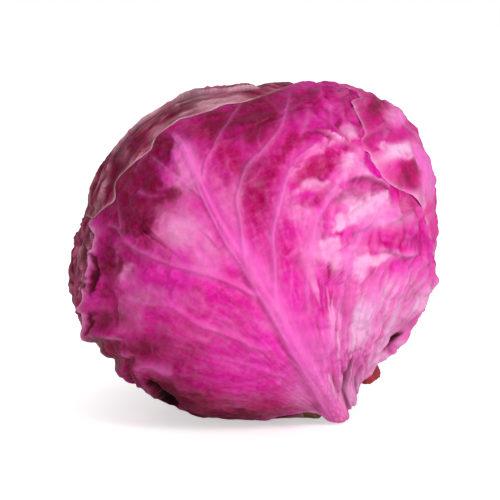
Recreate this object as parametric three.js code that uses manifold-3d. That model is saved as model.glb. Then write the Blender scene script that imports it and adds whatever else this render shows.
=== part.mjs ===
// A whole red cabbage head lying on its side, in millimetres, +Z up.
// The head is a star-shaped body: every surface is a radius along a direction from the head's centre.
// Directions are written (right, up, toward) in the head's own axes, which lean back by LEAN_DEG.
// Six wrapper leaves lie over each other and over the tightly folded inner leaves, and the stump stands
// out at the lower right. The head rests on a small flat spot of its left leaf.
import * as THREE from "three";
import { mergeVertices } from "three/addons/utils/BufferGeometryUtils.js";
import Module from "manifold-3d";

const wasm = await Module();
wasm.setup();

// ---------------------------------------------------------------- driving dimensions
const LEAN_DEG = 10; // the head's "up" leans back from vertical by this
const CENTRE_HEIGHT = 73.5; // head centre above the surface it rests on
const DEPTH_RADIUS = 77; // half the head's depth, front to back
const MEAN_RADIUS = 77;
// outline of the head seen from the front: radius every 10 degrees, anticlockwise from the right
const FRONT_OUTLINE = [
  81.1, 82.7, 85.3, 87.1, 87.6, 85.8, 83.1, 79.3, 75.6, 72.7, 72.2, 73.6,
  74.2, 74.9, 75.3, 76.9, 78.0, 78.9, 80.0, 82.2, 83.8, 83.3, 81.6, 80.0,
  79.6, 78.9, 78.0, 77.8, 78.2, 77.8, 76.4, 74.2, 73.3, 76.0, 79.0, 81.0,
];
const LEAF_THICKNESS = 1.2;
const LEAF_GAP = 0.4; // between two leaves that lie on each other
const COVER_FULL = 13.5; // how far past its margin a leaf still holds the next ones down
const COVER_END = 21; // and where that has faded out
const COVER_END_BELOW = 15; // the same where the head rests, so that the spot stays flat
const GRID = 8; // segments along each side of the icosahedral grid

const STEM_AXIS = new THREE.Vector3(0.49, -0.84, -0.22).normalize(); // centre to cut face
const STEM_CUT = 75.5; // cut face from the head's centre
const STEM_CUT_RADIUS = 15;
const STEM_NECK_RADIUS = 16.5;
const STEM_ROOT = 36; // inner end
const STEM_ROOT_RADIUS = 11;
const STEM_CLEARANCE = 0.4;
const STEM_OPENING_DEG = 14.6; // no leaf comes nearer than this to the stem's axis
// stubs of removed leaves: [azimuth, offset from axis, radial radius, tangential radius, low, high]
const STUBS = [
  [-34, 16.5, 7.0, 6.0, 60, 75.0],
  [86, 13.5, 6.0, 7.5, 60, 77.0],
  [165, 13.0, 5.5, 7.0, 60, 73.5],
];

// leaf outlines: [angle about the leaf's centre, angular radius], both in degrees.
// The angle starts at the direction of the stem, or at the right for the front leaf.
const LEAVES = [
  {
    name: "leaf_back", color: 0x7d2450, centre: [-0.1231, -0.0591, -0.9906],
    outline: [[-153.3, 29], [-126.5, 32.7], [-95.7, 38], [-59.7, 46.2], [-32.3, 57.5], [-14.5, 61.9], [-2.4, 62.7], [5.1, 57.5], [16, 47], [40.8, 46.5], [62.1, 55.5], [78.4, 68.8], [90.5, 77.8], [99.8, 83], [107.2, 86.2], [113, 88.1], [119, 88.7], [125.2, 85.1], [131.5, 75.1], [136.1, 60.9], [146.6, 45.7], [167.4, 31.8]],
  },
  {
    name: "leaf_right", color: 0xd84faa, centre: [0.81, 0.3828, -0.4443],
    outline: [[-175.7, 38.1], [-161.2, 43.5], [-147.1, 46.9], [-137.1, 48.9], [-132.7, 57.1], [-127.2, 59.2], [-118.2, 62.2], [-115.2, 66.3], [-112.3, 67.4], [-110.3, 65.7], [-107.9, 66.4], [-104.2, 66], [-101, 65.1], [-98.2, 63.2], [-95.9, 60.8], [-91.9, 55.7], [-88.6, 53.1], [-85.1, 51.4], [-77.8, 48.5], [-70.2, 47.3], [-53.4, 42.3], [-40, 43.1], [-19.3, 49.5], [-6.5, 58.8], [0, 64.5], [7.3, 59.1], [33, 45], [70.4, 38.9], [103.9, 36.2], [132.3, 33.8], [161.4, 33.8]],
  },
  {
    name: "leaf_top_left", color: 0x8c2a55, centre: [-0.4511, 0.5514, -0.7018],
    outline: [[-179.4, 80.9], [-172, 83.2], [-167.7, 82.4], [-161.2, 84.8], [-152.1, 83.4], [-140.5, 79], [-133.5, 74.5], [-121.8, 72.2], [-108.4, 62.2], [-97.8, 48.5], [-78, 34], [-31.5, 30.8], [-1.9, 52.1], [3.2, 77.2], [3.6, 100.3], [6.1, 107.6], [10, 100], [25.6, 79.5], [56.6, 68], [87.7, 67.3], [109.7, 67.2], [126.4, 68.1], [133.6, 80.5], [138.7, 83.2], [144.5, 86.3], [148.1, 80.7], [156.3, 81.6], [163.6, 83.2], [168.4, 79], [176, 78.8]],
  },
  {
    name: "leaf_front", color: 0xcf3f9c, centre: [0, 0, 1], fromRight: true,
    outline: [[-175, 57.5], [-168, 60], [-161.6, 64.3], [-154.2, 72.7], [-151, 80], [-145, 88], [-133, 92], [-120, 91], [-105, 87], [-95, 84.5], [-87, 79], [-80.6, 73], [-75, 72], [-69, 74.5], [-66.5, 79], [-64, 84.5], [-60, 88], [-56, 88], [-52, 85], [-41.9, 83.5], [-30.2, 84], [-21.2, 84.5], [-8, 85], [-2, 86], [4, 84], [13, 78], [22, 71], [35, 66], [45, 72], [52, 92], [60, 101], [68, 98], [75, 88], [85, 74], [106, 66], [131, 66], [155, 67], [165, 68], [171, 65], [176.5, 57.5]],
  },
  {
    name: "leaf_left", color: 0x7a2350, centre: [-0.6949, -0.7166, -0.0608],
    outline: [[-176.2, 63.2], [-159.6, 57.8], [-136, 49.1], [-104.4, 43.7], [-63.9, 49.4], [-34.3, 55.2], [-14.1, 57.3], [0, 58.5], [13.9, 60], [29.4, 62.5], [47.6, 61.5], [66.7, 57.5], [90, 50.9], [114.3, 55.9], [134.9, 65.2], [151.7, 69.3], [167.6, 67.9]],
  },
  {
    name: "leaf_lower_right", color: 0xb8608f, centre: [0.9829, -0.1729, -0.0637],
    outline: [[-169.4, 34.4], [-133.2, 32.6], [-97.5, 30.9], [-66.4, 32.4], [-39.3, 34.6], [-21.1, 35.9], [1.9, 34.6], [24.3, 31.6], [57, 30.9], [94.5, 33.9], [126.2, 36.9], [156.5, 37.2]],
  },
];
// local shape: direction, height in mm, spread in degrees
const BUMPS = { // thickening: only the outside rises
  leaf_front: [[[0.466, -0.877, 0.115], 9.0, 8], [[0.4, -0.8, 0.45], 2.5, 9], [[0.27, -0.55, 0.79], 1.2, 9]],
};
const FLARES = { // the whole leaf stands off the head
  leaf_front: [
    [[0.93, -0.36, 0.05], 2.6, 9], [[0.985, -0.14, 0.05], 2.4, 8], [[0.8, -0.59, 0.08], 1.8, 8],
    [[-0.82, -0.05, 0.57], 1.6, 9], [[-0.86, -0.36, 0.36], 1.6, 9],
  ],
  leaf_back: [[[-0.99, -0.12, -0.05], 1.8, 8]],
};
const HOLLOWS = [ // everything under the front leaf sinks here
  [[-0.86, -0.08, 0.46], 2.4, 9], [[0.85, -0.5, 0.0], 2.4, 9],
];
const UNDER_FRONT = 4; // place in LEAVES from which the hollows apply

// ---------------------------------------------------------------- the head's surface
const RAD = Math.PI / 180;
const leanSin = Math.sin(LEAN_DEG * RAD),
  leanCos = Math.cos(LEAN_DEG * RAD);
const angleBetween = (a, b) => Math.acos(THREE.MathUtils.clamp(a.dot(b), -1, 1)) / RAD;

// Cubic interpolation that never overshoots, round a full turn; points are [degrees, value].
function roundCurve(points) {
  const n = points.length;
  const x = points.map((p) => p[0]),
    y = points.map((p) => p[1]);
  const step = (i) => (i === n - 1 ? x[0] + 360 - x[n - 1] : x[i + 1] - x[i]);
  const slope = (i) => (y[(i + 1) % n] - y[i]) / step(i);
  const m = x.map((_, i) => {
    const a = slope((i + n - 1) % n),
      b = slope(i);
    return a * b <= 0 ? 0 : (2 * a * b) / (a + b);
  });
  return (deg) => {
    let t = deg;
    while (t < x[0]) t += 360;
    while (t >= x[0] + 360) t -= 360;
    let i = n - 1;
    for (let k = 0; k < n - 1; k++) if (t >= x[k] && t < x[k + 1]) { i = k; break; }
    const h = step(i),
      f = (t - x[i]) / h,
      j = (i + 1) % n;
    return (
      (1 + 2 * f) * (1 - f) ** 2 * y[i] + f * (1 - f) ** 2 * h * m[i] +
      f * f * (3 - 2 * f) * y[j] + f * f * (f - 1) * h * m[j]
    );
  };
}

function evenRound(table, angle) {
  const n = table.length,
    u = (((angle / (2 * Math.PI)) % 1) + 1) % 1 * n,
    i = Math.floor(u),
    f = u - i;
  const [a, b, c, d] = [-1, 0, 1, 2].map((k) => table[(i + k + n) % n]);
  return b + 0.5 * f * (c - a + f * (2 * a - 5 * b + 4 * c - d + f * (3 * (b - c) + d - a)));
}

// radius of the whole head along a direction, and where the surface it rests on cuts that direction
function headRadius(d) {
  const c2 = d.x * d.x + d.y * d.y;
  const side = MEAN_RADIUS + (evenRound(FRONT_OUTLINE, Math.atan2(d.y, d.x)) - MEAN_RADIUS) * c2;
  return 1 / Math.sqrt(c2 / side ** 2 + d.z ** 2 / DEPTH_RADIUS ** 2);
}
function restRadius(d) {
  const down = -(d.y * leanCos + d.z * leanSin);
  return down > 1e-3 ? CENTRE_HEIGHT / down : Infinity;
}
const hills = (list, d) =>
  (list ?? []).reduce((sum, [at, height, spread]) => {
    const a = angleBetween(new THREE.Vector3(...at).normalize(), d) / spread;
    return sum + height * Math.exp(-a * a);
  }, 0);
const fade = (x, from, to) => {
  const f = THREE.MathUtils.clamp((x - from) / (to - from), 0, 1);
  return 1 - f * f * (3 - 2 * f);
};

const segment = new THREE.Line3(),
  closest = new THREE.Vector3();
for (const leaf of LEAVES) {
  const c = new THREE.Vector3(...leaf.centre).normalize();
  const along = leaf.fromRight
    ? new THREE.Vector3(1, 0, 0)
    : STEM_AXIS.clone().addScaledVector(c, -STEM_AXIS.dot(c)).normalize();
  const across = new THREE.Vector3().crossVectors(c, along);
  const reach = roundCurve(leaf.outline);
  const margin = [];
  for (let a = 0; a < 360; a += 1.5) {
    const r = reach(a) * RAD;
    margin.push(c.clone().multiplyScalar(Math.cos(r))
      .addScaledVector(along, Math.sin(r) * Math.cos(a * RAD))
      .addScaledVector(across, Math.sin(r) * Math.sin(a * RAD)));
  }
  // millimetres inside the margin, negative outside
  leaf.inside = (d) => {
    const within = reach(Math.atan2(d.dot(across), d.dot(along)) / RAD) > angleBetween(c, d);
    let near = Infinity;
    margin.forEach((p, i) => {
      segment.set(p, margin[(i + 1) % margin.length]).closestPointToPoint(d, true, closest);
      near = Math.min(near, closest.distanceToSquared(d));
    });
    const toMargin = (2 * Math.asin(Math.min(Math.sqrt(near) / 2, 1)) / RAD) * (within ? 1 : -1);
    const toStem = angleBetween(STEM_AXIS, d) - STEM_OPENING_DEG;
    const toStubs = stubWays.map((s) => angleBetween(s, d) - 6.6);
    return Math.min(toMargin, toStem, ...toStubs) * RAD * MEAN_RADIUS;
  };
  leaf.cover = (d) => fade(-leaf.inside(d), COVER_FULL, COVER_END);
  leaf.coverBelow = (d) => fade(-leaf.inside(d), COVER_FULL, COVER_END_BELOW);
}

const towardView = new THREE.Vector3(0, 0, 1).addScaledVector(STEM_AXIS, -STEM_AXIS.z).normalize();
const acrossView = new THREE.Vector3().crossVectors(STEM_AXIS, towardView).normalize();
if (acrossView.x < 0) acrossView.negate();
const aroundStem = (azimuth) =>
  towardView.clone().multiplyScalar(Math.cos(azimuth * RAD)).addScaledVector(acrossView, Math.sin(azimuth * RAD));
var stubWays = STUBS.slice(0, 2).map(([azimuth, offset, , , , high]) =>
  STEM_AXIS.clone().multiplyScalar(high).addScaledVector(aroundStem(azimuth), offset + 1).normalize(),
);

// ---------------------------------------------------------------- the shared grid
const grid = (() => {
  const g = new THREE.IcosahedronGeometry(1, GRID - 1);
  g.deleteAttribute("normal");
  g.deleteAttribute("uv");
  const m = mergeVertices(g, 1e-4);
  const p = m.getAttribute("position");
  const ways = [];
  for (let i = 0; i < p.count; i++) ways.push(new THREE.Vector3().fromBufferAttribute(p, i).normalize());
  const faces = [];
  for (let i = 0; i < m.index.count; i += 3) {
    const f = [m.index.getX(i), m.index.getX(i + 1), m.index.getX(i + 2)];
    const n = new THREE.Vector3().crossVectors(
      ways[f[1]].clone().sub(ways[f[0]]), ways[f[2]].clone().sub(ways[f[0]]));
    if (n.dot(ways[f[0]]) < 0) f.reverse();
    faces.push(f);
  }
  return { ways, faces };
})();

const covers = LEAVES.map((leaf) => grid.ways.map((d) => leaf.cover(d)));
const coversBelow = LEAVES.map((leaf) => grid.ways.map((d) => leaf.coverBelow(d)));
const layer = LEAF_THICKNESS + LEAF_GAP;

// outer and inner radius of leaf k at every grid direction
function leafRadii(k) {
  const name = LEAVES[k].name;
  return grid.ways.map((d, i) => {
    let drop = 0,
      dropBelow = 0,
      open = 1;
    for (let j = 0; j < k; j++) {
      drop += layer * covers[j][i];
      dropBelow += layer * coversBelow[j][i];
      open *= 1 - covers[j][i];
    }
    if (k >= UNDER_FRONT) drop += hills(HOLLOWS, d);
    const floor = restRadius(d) - dropBelow;
    const base = Math.min(headRadius(d) - drop + open * hills(FLARES[name], d), floor);
    const outer = Math.min(base + open * hills(BUMPS[name], d), floor);
    return [outer, base - LEAF_THICKNESS];
  });
}

function geometryOf(points, faces) {
  const g = new THREE.BufferGeometry();
  g.setAttribute("position", new THREE.Float32BufferAttribute(points.flatMap((p) => [p.x, p.y, p.z]), 3));
  g.setIndex(faces.flat());
  g.computeVertexNormals();
  return g;
}

// A leaf: the part of the grid inside its outline, as a closed shell.
function leafGeometry(k) {
  const g = grid.ways.map((d) => LEAVES[k].inside(d));
  const radii = leafRadii(k);
  const outer = [],
    inner = [];
  const index = new Map();
  const corner = (i) => {
    if (!index.has(i)) {
      index.set(i, outer.length);
      outer.push(grid.ways[i].clone().multiplyScalar(radii[i][0]));
      inner.push(grid.ways[i].clone().multiplyScalar(radii[i][1]));
    }
    return index.get(i);
  };
  const cut = (i, j) => { // where the margin crosses the edge from i, inside, to j, outside
    const key = Math.min(i, j) + "_" + Math.max(i, j);
    if (!index.has(key)) {
      const t = THREE.MathUtils.clamp(g[i] / (g[i] - g[j]), 0.15, 0.85);
      index.set(key, outer.length);
      for (const [list, s] of [[outer, 0], [inner, 1]])
        list.push(grid.ways[i].clone().multiplyScalar(radii[i][s]).lerp(
          grid.ways[j].clone().multiplyScalar(radii[j][s]), t));
    }
    return index.get(key);
  };
  const tris = [],
    rim = [];
  for (const face of grid.faces) {
    const ins = face.filter((i) => g[i] > 0).length;
    if (ins === 0) continue;
    if (ins === 3) { tris.push(face.map(corner)); continue; }
    let [a, b, c] = face;
    if (ins === 1) {
      while (!(g[a] > 0)) [a, b, c] = [b, c, a];
      const p = cut(a, b), q = cut(a, c);
      tris.push([corner(a), p, q]);
      rim.push([p, q]);
    } else {
      while (g[c] > 0) [a, b, c] = [b, c, a];
      const p = cut(b, c), q = cut(a, c);
      tris.push([corner(a), corner(b), p], [corner(a), p, q]);
      rim.push([p, q]);
    }
  }
  const n = outer.length;
  const faces = [
    ...tris,
    ...tris.map(([a, b, c]) => [a + n, c + n, b + n]),
    ...rim.flatMap(([p, q]) => [[q, p, p + n], [q, p + n, q + n]]),
  ];
  return geometryOf([...outer, ...inner], faces);
}

// ---------------------------------------------------------------- stump and inner head
function toSolid(geometry) {
  const g = geometry.index ? geometry.toNonIndexed() : geometry.clone();
  g.deleteAttribute("normal");
  g.deleteAttribute("uv");
  const m = mergeVertices(g, 1e-4);
  return new wasm.Manifold(new wasm.Mesh({
    numProp: 3,
    vertProperties: new Float32Array(m.getAttribute("position").array),
    triVerts: new Uint32Array(m.index.array),
  }));
}
function toGeometry(solid) {
  const m = solid.getMesh();
  const g = new THREE.BufferGeometry();
  const p = new Float32Array(m.numVert * 3);
  for (let i = 0; i < m.numVert; i++) p.set(m.vertProperties.subarray(i * m.numProp, i * m.numProp + 3), i * 3);
  g.setAttribute("position", new THREE.BufferAttribute(p, 3));
  g.setIndex(new THREE.BufferAttribute(new Uint32Array(m.triVerts), 1));
  g.computeVertexNormals();
  return g;
}
const stemFrame = new THREE.Matrix4().makeBasis(
  aroundStem(0), STEM_AXIS, new THREE.Vector3().crossVectors(aroundStem(0), STEM_AXIS));

// The stump and its stubs, grown by a clearance where the inner head makes room for it.
function stemSolid(grow) {
  const top = STEM_CUT + (grow ? 6 : 0);
  const profile = [
    [0, STEM_ROOT - grow], [STEM_ROOT_RADIUS + grow, STEM_ROOT - grow],
    [STEM_NECK_RADIUS + grow, 60], [STEM_CUT_RADIUS + 0.6 + grow, STEM_CUT - 3],
    [STEM_CUT_RADIUS - 0.6 + grow, top], [0, top],
  ].map(([r, y]) => new THREE.Vector2(r, y));
  let solid = toSolid(new THREE.LatheGeometry(profile, 28));
  if (solid.volume() < 0) throw new Error("stem profile runs the wrong way");
  for (const [azimuth, offset, radial, tangential, low, high] of STUBS) {
    const h = high - low + (grow ? 8 : 0);
    const stub = new THREE.CylinderGeometry(0.86, 1, h, 12);
    stub.scale(radial + grow, 1, tangential + grow);
    stub.translate(offset, low + h / 2 - grow, 0);
    const side = aroundStem(azimuth);
    const turn = Math.atan2(-side.dot(new THREE.Vector3().setFromMatrixColumn(stemFrame, 2)), side.dot(aroundStem(0)));
    stub.rotateY(turn);
    solid = solid.add(toSolid(stub));
  }
  return solid;
}
const innerHead = (() => {
  const points = grid.ways.map((d, i) => {
    let drop = hills(HOLLOWS, d),
      dropBelow = 0,
      bare = 1;
    covers.forEach((c) => { drop += layer * c[i]; bare *= 1 - c[i]; });
    coversBelow.forEach((c) => { dropBelow += layer * c[i]; });
    const r = Math.min(headRadius(d) - drop, restRadius(d) - dropBelow);
    return d.clone().multiplyScalar(r - layer * bare);
  });
  const room = stemSolid(STEM_CLEARANCE);
  const placed = toSolid(toGeometry(room).applyMatrix4(stemFrame));
  return toGeometry(toSolid(geometryOf(points, grid.faces)).subtract(placed));
})();

// ---------------------------------------------------------------- the scene graph
const cabbage = new THREE.Group();
const head = new THREE.Group(); // the head's axes: right, up, toward
head.rotation.x = (90 - LEAN_DEG) * RAD;
head.position.z = CENTRE_HEIGHT;
cabbage.add(head);

function piece(name, geometry, color, roughness) {
  const mesh = new THREE.Mesh(geometry, new THREE.MeshStandardMaterial({ color, roughness, metalness: 0 }));
  mesh.name = name;
  return mesh;
}
LEAVES.forEach((leaf, k) => head.add(piece(leaf.name, leafGeometry(k), leaf.color, 0.42)));
head.add(piece("inner_head", innerHead, 0x96386e, 0.5));
const stem = new THREE.Group(); // its Y axis is the stem's
stem.applyMatrix4(stemFrame);
stem.add(piece("stem", toGeometry(stemSolid(0)), 0x8a5a3c, 0.75));
head.add(stem);

// centre the head's box over the origin
cabbage.updateMatrixWorld(true);
const box = new THREE.Box3().setFromObject(cabbage, true);
head.position.x -= (box.min.x + box.max.x) / 2;
head.position.y -= (box.min.y + box.max.y) / 2;

export default cabbage;
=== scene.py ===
import math
import bpy
import numpy as np
from mathutils import Matrix, Vector


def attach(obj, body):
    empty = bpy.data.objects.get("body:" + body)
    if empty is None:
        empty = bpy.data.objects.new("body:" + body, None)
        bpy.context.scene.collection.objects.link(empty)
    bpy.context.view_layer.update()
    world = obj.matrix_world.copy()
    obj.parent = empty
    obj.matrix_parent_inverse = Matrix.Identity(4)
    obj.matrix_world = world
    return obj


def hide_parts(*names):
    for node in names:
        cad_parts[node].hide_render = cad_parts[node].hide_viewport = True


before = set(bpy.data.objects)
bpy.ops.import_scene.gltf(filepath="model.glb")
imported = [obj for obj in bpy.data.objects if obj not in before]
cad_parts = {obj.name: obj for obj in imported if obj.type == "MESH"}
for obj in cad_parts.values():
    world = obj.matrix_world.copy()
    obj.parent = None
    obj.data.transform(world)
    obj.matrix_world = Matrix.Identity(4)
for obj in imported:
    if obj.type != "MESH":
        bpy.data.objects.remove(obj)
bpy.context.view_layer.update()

# ------------------------------------------------------------------ the head's own axes
# Shapes are made in millimetres in axes (right, up, toward the viewer) from the head's centre,
# which lean back by LEAN, and to_world() turns them into the row's frame in metres.
LEAN = math.radians(10.0)
CE, SE = math.cos(LEAN), math.sin(LEAN)
CENTRE = (0.58695, 0.00139, 73.5)
VIEW_DIST = 750.0
MM_PER_PX = 0.447
FOCAL_PX = VIEW_DIST / MM_PER_PX
VIEW_H, VIEW_V = -2 * MM_PER_PX, -4 * MM_PER_PX
MEAN_R, DEPTH_R = 77.0, 77.0
FRONT_OUTLINE = np.array([
    81.1, 82.7, 85.3, 87.1, 87.6, 85.8, 83.1, 79.3, 75.6, 72.7, 72.2, 73.6,
    74.2, 74.9, 75.3, 76.9, 78.0, 78.9, 80.0, 82.2, 83.8, 83.3, 81.6, 80.0,
    79.6, 78.9, 78.0, 77.8, 78.2, 77.8, 76.4, 74.2, 73.3, 76.0, 79.0, 81.0])
LAYER = 1.6
COVER_FULL, COVER_END, COVER_END_BELOW = 13.5, 21.0, 15.0


def unit(a):
    a = np.asarray(a, float)
    return a / np.linalg.norm(a, axis=-1, keepdims=True)


def to_world(P):
    h, v, w = P[:, 0], P[:, 1], P[:, 2]
    return np.stack([h + CENTRE[0], v * SE - w * CE + CENTRE[1], v * CE + w * SE + CENTRE[2]], 1) * 0.001


def even_round(tab, ang):
    n = len(tab)
    x = (np.asarray(ang) / (2 * np.pi) % 1.0) * n
    i = np.floor(x).astype(int)
    f = x - i
    a, b, c, d = (tab[(i + k) % n] for k in (-1, 0, 1, 2))
    return b + 0.5 * f * (c - a + f * (2 * a - 5 * b + 4 * c - d + f * (3 * (b - c) + d - a)))


def head_radius(d):
    c2 = d[:, 0] ** 2 + d[:, 1] ** 2
    rs = MEAN_R + (even_round(FRONT_OUTLINE, np.arctan2(d[:, 1], d[:, 0])) - MEAN_R) * c2
    return 1 / np.sqrt(c2 / rs ** 2 + d[:, 2] ** 2 / DEPTH_R ** 2)


def rest_radius(d):
    down = -(d[:, 1] * CE + d[:, 2] * SE)
    return np.where(down > 1e-3, CENTRE[2] / np.maximum(down, 1e-3), 1e9)


def smooth(x, a, b):
    f = np.clip((x - a) / (b - a), 0, 1)
    return f * f * (3 - 2 * f)


STEM_AXIS = unit([0.49, -0.84, -0.22])
_w = np.array([0.0, 0.0, 1.0])
STEM_E1 = unit(_w - _w.dot(STEM_AXIS) * STEM_AXIS)
STEM_E2 = np.cross(STEM_AXIS, STEM_E1)
if STEM_E2[0] < 0:
    STEM_E2 = -STEM_E2


def project(P):
    """Head axes, mm -> pixels of the 500 x 500 view."""
    s = FOCAL_PX / (VIEW_DIST - P[:, 2])
    return 250 + (P[:, 0] - VIEW_H) * s, 250 - (P[:, 1] - VIEW_V) * s


def unproject(pts):
    """Pixels of the view -> directions on the head's surface."""
    pts = np.asarray(pts, float)
    a = np.stack([(pts[:, 0] - 250) / FOCAL_PX, -(pts[:, 1] - 250) / FOCAL_PX, -np.ones(len(pts))], 1)
    o = np.array([VIEW_H, VIEW_V, VIEW_DIST])
    t = np.linspace(VIEW_DIST - 95, VIEW_DIST + 60, 1200)
    out = []
    for ray in a:
        P = o + ray * t[:, None]
        r = np.linalg.norm(P, axis=1)
        d = P / r[:, None]
        s = r - np.minimum(head_radius(d), rest_radius(d))
        k = np.flatnonzero(s < 0)
        out.append(d[k[0]] if len(k) else d[np.argmin(s)])
    return np.array(out)


# ------------------------------------------------------------------ noise
def _hash(ix, iy, iz, seed):
    h = (ix * 374761393 + iy * 668265263 + iz * 1440662683 + seed * 1274126177) & 0xFFFFFFFF
    h = ((h ^ (h >> 13)) * 1274126177) & 0xFFFFFFFF
    return h ^ (h >> 16)


def noise(p, seed=0):
    """Gradient noise, about -0.7..0.7, p in cells."""
    i = np.floor(p).astype(np.int64)
    f = p - i
    u = f * f * f * (f * (f * 6 - 15) + 10)
    out = np.zeros(len(p))
    for cx in (0, 1):
        for cy in (0, 1):
            for cz in (0, 1):
                h = _hash(i[:, 0] + cx, i[:, 1] + cy, i[:, 2] + cz, seed)
                gx = (h & 255) / 127.5 - 1
                gy = ((h >> 8) & 255) / 127.5 - 1
                gz = ((h >> 16) & 255) / 127.5 - 1
                dot = gx * (f[:, 0] - cx) + gy * (f[:, 1] - cy) + gz * (f[:, 2] - cz)
                wx = u[:, 0] if cx else 1 - u[:, 0]
                wy = u[:, 1] if cy else 1 - u[:, 1]
                wz = u[:, 2] if cz else 1 - u[:, 2]
                out += dot * wx * wy * wz
    return out


def fbm(d, cell, seed, octaves=3):
    """d: unit directions, cell: size in mm."""
    out, amp = np.zeros(len(d)), 1.0
    for k in range(octaves):
        out += amp * noise(d * (77.0 / cell) * 2 ** k + 31.7 * k, seed + k)
        amp *= 0.5
    return out


def cells(p, seed):
    """Distance to the nearest and to the second nearest of scattered points, p in cells."""
    i = np.floor(p).astype(np.int64)
    f1, f2 = np.full(len(p), 9.0), np.full(len(p), 9.0)
    for cx in (-1, 0, 1):
        for cy in (-1, 0, 1):
            for cz in (-1, 0, 1):
                h = _hash(i[:, 0] + cx, i[:, 1] + cy, i[:, 2] + cz, seed)
                q = np.stack([i[:, 0] + cx + (h & 255) / 255.0, i[:, 1] + cy + ((h >> 8) & 255) / 255.0, i[:, 2] + cz + ((h >> 16) & 255) / 255.0], 1)
                dd = np.sqrt(((p - q) ** 2).sum(1))
                f2 = np.minimum(f2, np.maximum(f1, dd))
                f1 = np.minimum(f1, dd)
    return f1, f2


def blisters(d, size, seed, warp=0.35):
    """Rounded cells with sharp valleys between them, 0..1, size (h, v, w) in mm."""
    p = d * 77.0
    p = p + warp * np.mean(size) * np.stack([noise(p / np.mean(size), seed + k) for k in (1, 2, 3)], 1) * 2
    f1, f2 = cells(p / np.asarray(size, float), seed)
    return np.tanh(2.2 * (f2 - f1))


# ------------------------------------------------------------------ leaf outlines, as in the solid model
OUTLINES = [
    ("leaf_back", [-0.1231, -0.0591, -0.9906], [[-153.3, 29], [-126.5, 32.7], [-95.7, 38], [-59.7, 46.2], [-32.3, 57.5], [-14.5, 61.9], [-2.4, 62.7], [5.1, 57.5], [16, 47], [40.8, 46.5], [62.1, 55.5], [78.4, 68.8], [90.5, 77.8], [99.8, 79], [107.2, 80.6], [113, 82.2], [119, 83.4], [125.2, 80], [131.5, 72], [136.1, 60.9], [146.6, 45.7], [167.4, 31.8]]),
    ("leaf_right", [0.81, 0.3828, -0.4443], [[-175.7, 38.1], [-161.2, 43.5], [-147.1, 46.9], [-137.1, 48.9], [-132.7, 57.1], [-127.2, 59.2], [-118.2, 62.2], [-115.2, 66.3], [-112.3, 67.4], [-110.3, 65.7], [-107.9, 66.4], [-104.2, 66], [-101, 65.1], [-98.2, 63.2], [-95.9, 60.8], [-91.9, 55.7], [-88.6, 53.1], [-85.1, 51.4], [-77.8, 48.5], [-70.2, 47.3], [-53.4, 42.3], [-40, 43.1], [-19.3, 49.5], [-6.5, 58.8], [0, 64.5], [7.3, 59.1], [33, 45], [70.4, 38.9], [103.9, 36.2], [132.3, 33.8], [161.4, 33.8]]),
    ("leaf_top_left", [-0.4511, 0.5514, -0.7018], [[-179.4, 80.9], [-172, 83.2], [-167.7, 82.4], [-161.2, 84.8], [-152.1, 83.4], [-140.5, 79], [-133.5, 74.5], [-121.8, 72.2], [-108.4, 62.2], [-97.8, 48.5], [-78, 34], [-31.5, 30.8], [-1.9, 52.1], [3.2, 77.2], [3.6, 100.3], [6.1, 107.6], [10, 100], [25.6, 79.5], [56.6, 68], [87.7, 67.3], [109.7, 67.2], [126.4, 68.1], [133.6, 80.5], [138.7, 83.2], [144.5, 86.3], [148.1, 80.7], [156.3, 81.6], [163.6, 83.2], [168.4, 79], [176, 78.8]]),
    ("leaf_front", [0, 0, 1], [[-175, 57.5], [-168, 60], [-161.6, 64.3], [-154.2, 72.7], [-151, 80], [-145, 88], [-133, 92], [-120, 91], [-105, 87], [-95, 84.5], [-87, 79], [-80.6, 73], [-75, 72], [-69, 74.5], [-66.5, 79], [-64, 84.5], [-60, 88], [-56, 88], [-52, 85], [-41.9, 83.5], [-30.2, 84], [-21.2, 84.5], [-8, 85], [-2, 86], [4, 84], [13, 78], [22, 71], [35, 66], [45, 72], [52, 92], [60, 101], [68, 98], [75, 88], [85, 74], [106, 66], [131, 66], [155, 67], [165, 68], [171, 65], [176.5, 57.5]]),
    ("leaf_left", [-0.6949, -0.7166, -0.0608], [[-176.2, 63.2], [-159.6, 57.8], [-136, 49.1], [-104.4, 43.7], [-63.9, 49.4], [-34.3, 55.2], [-14.1, 57.3], [0, 58.5], [13.9, 60], [29.4, 62.5], [47.6, 61.5], [66.7, 57.5], [90, 50.9], [114.3, 55.9], [134.9, 65.2], [151.7, 69.3], [167.6, 67.9]]),
    ("leaf_lower_right", [0.9829, -0.1729, -0.0637], [[-169.4, 34.4], [-133.2, 32.6], [-97.5, 30.9], [-66.4, 32.4], [-39.3, 34.6], [-21.1, 35.9], [1.9, 34.6], [24.3, 31.6], [57, 30.9], [94.5, 33.9], [126.2, 36.9], [156.5, 37.2]]),
]
STEM_OPENING = math.radians(13.4)


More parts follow.
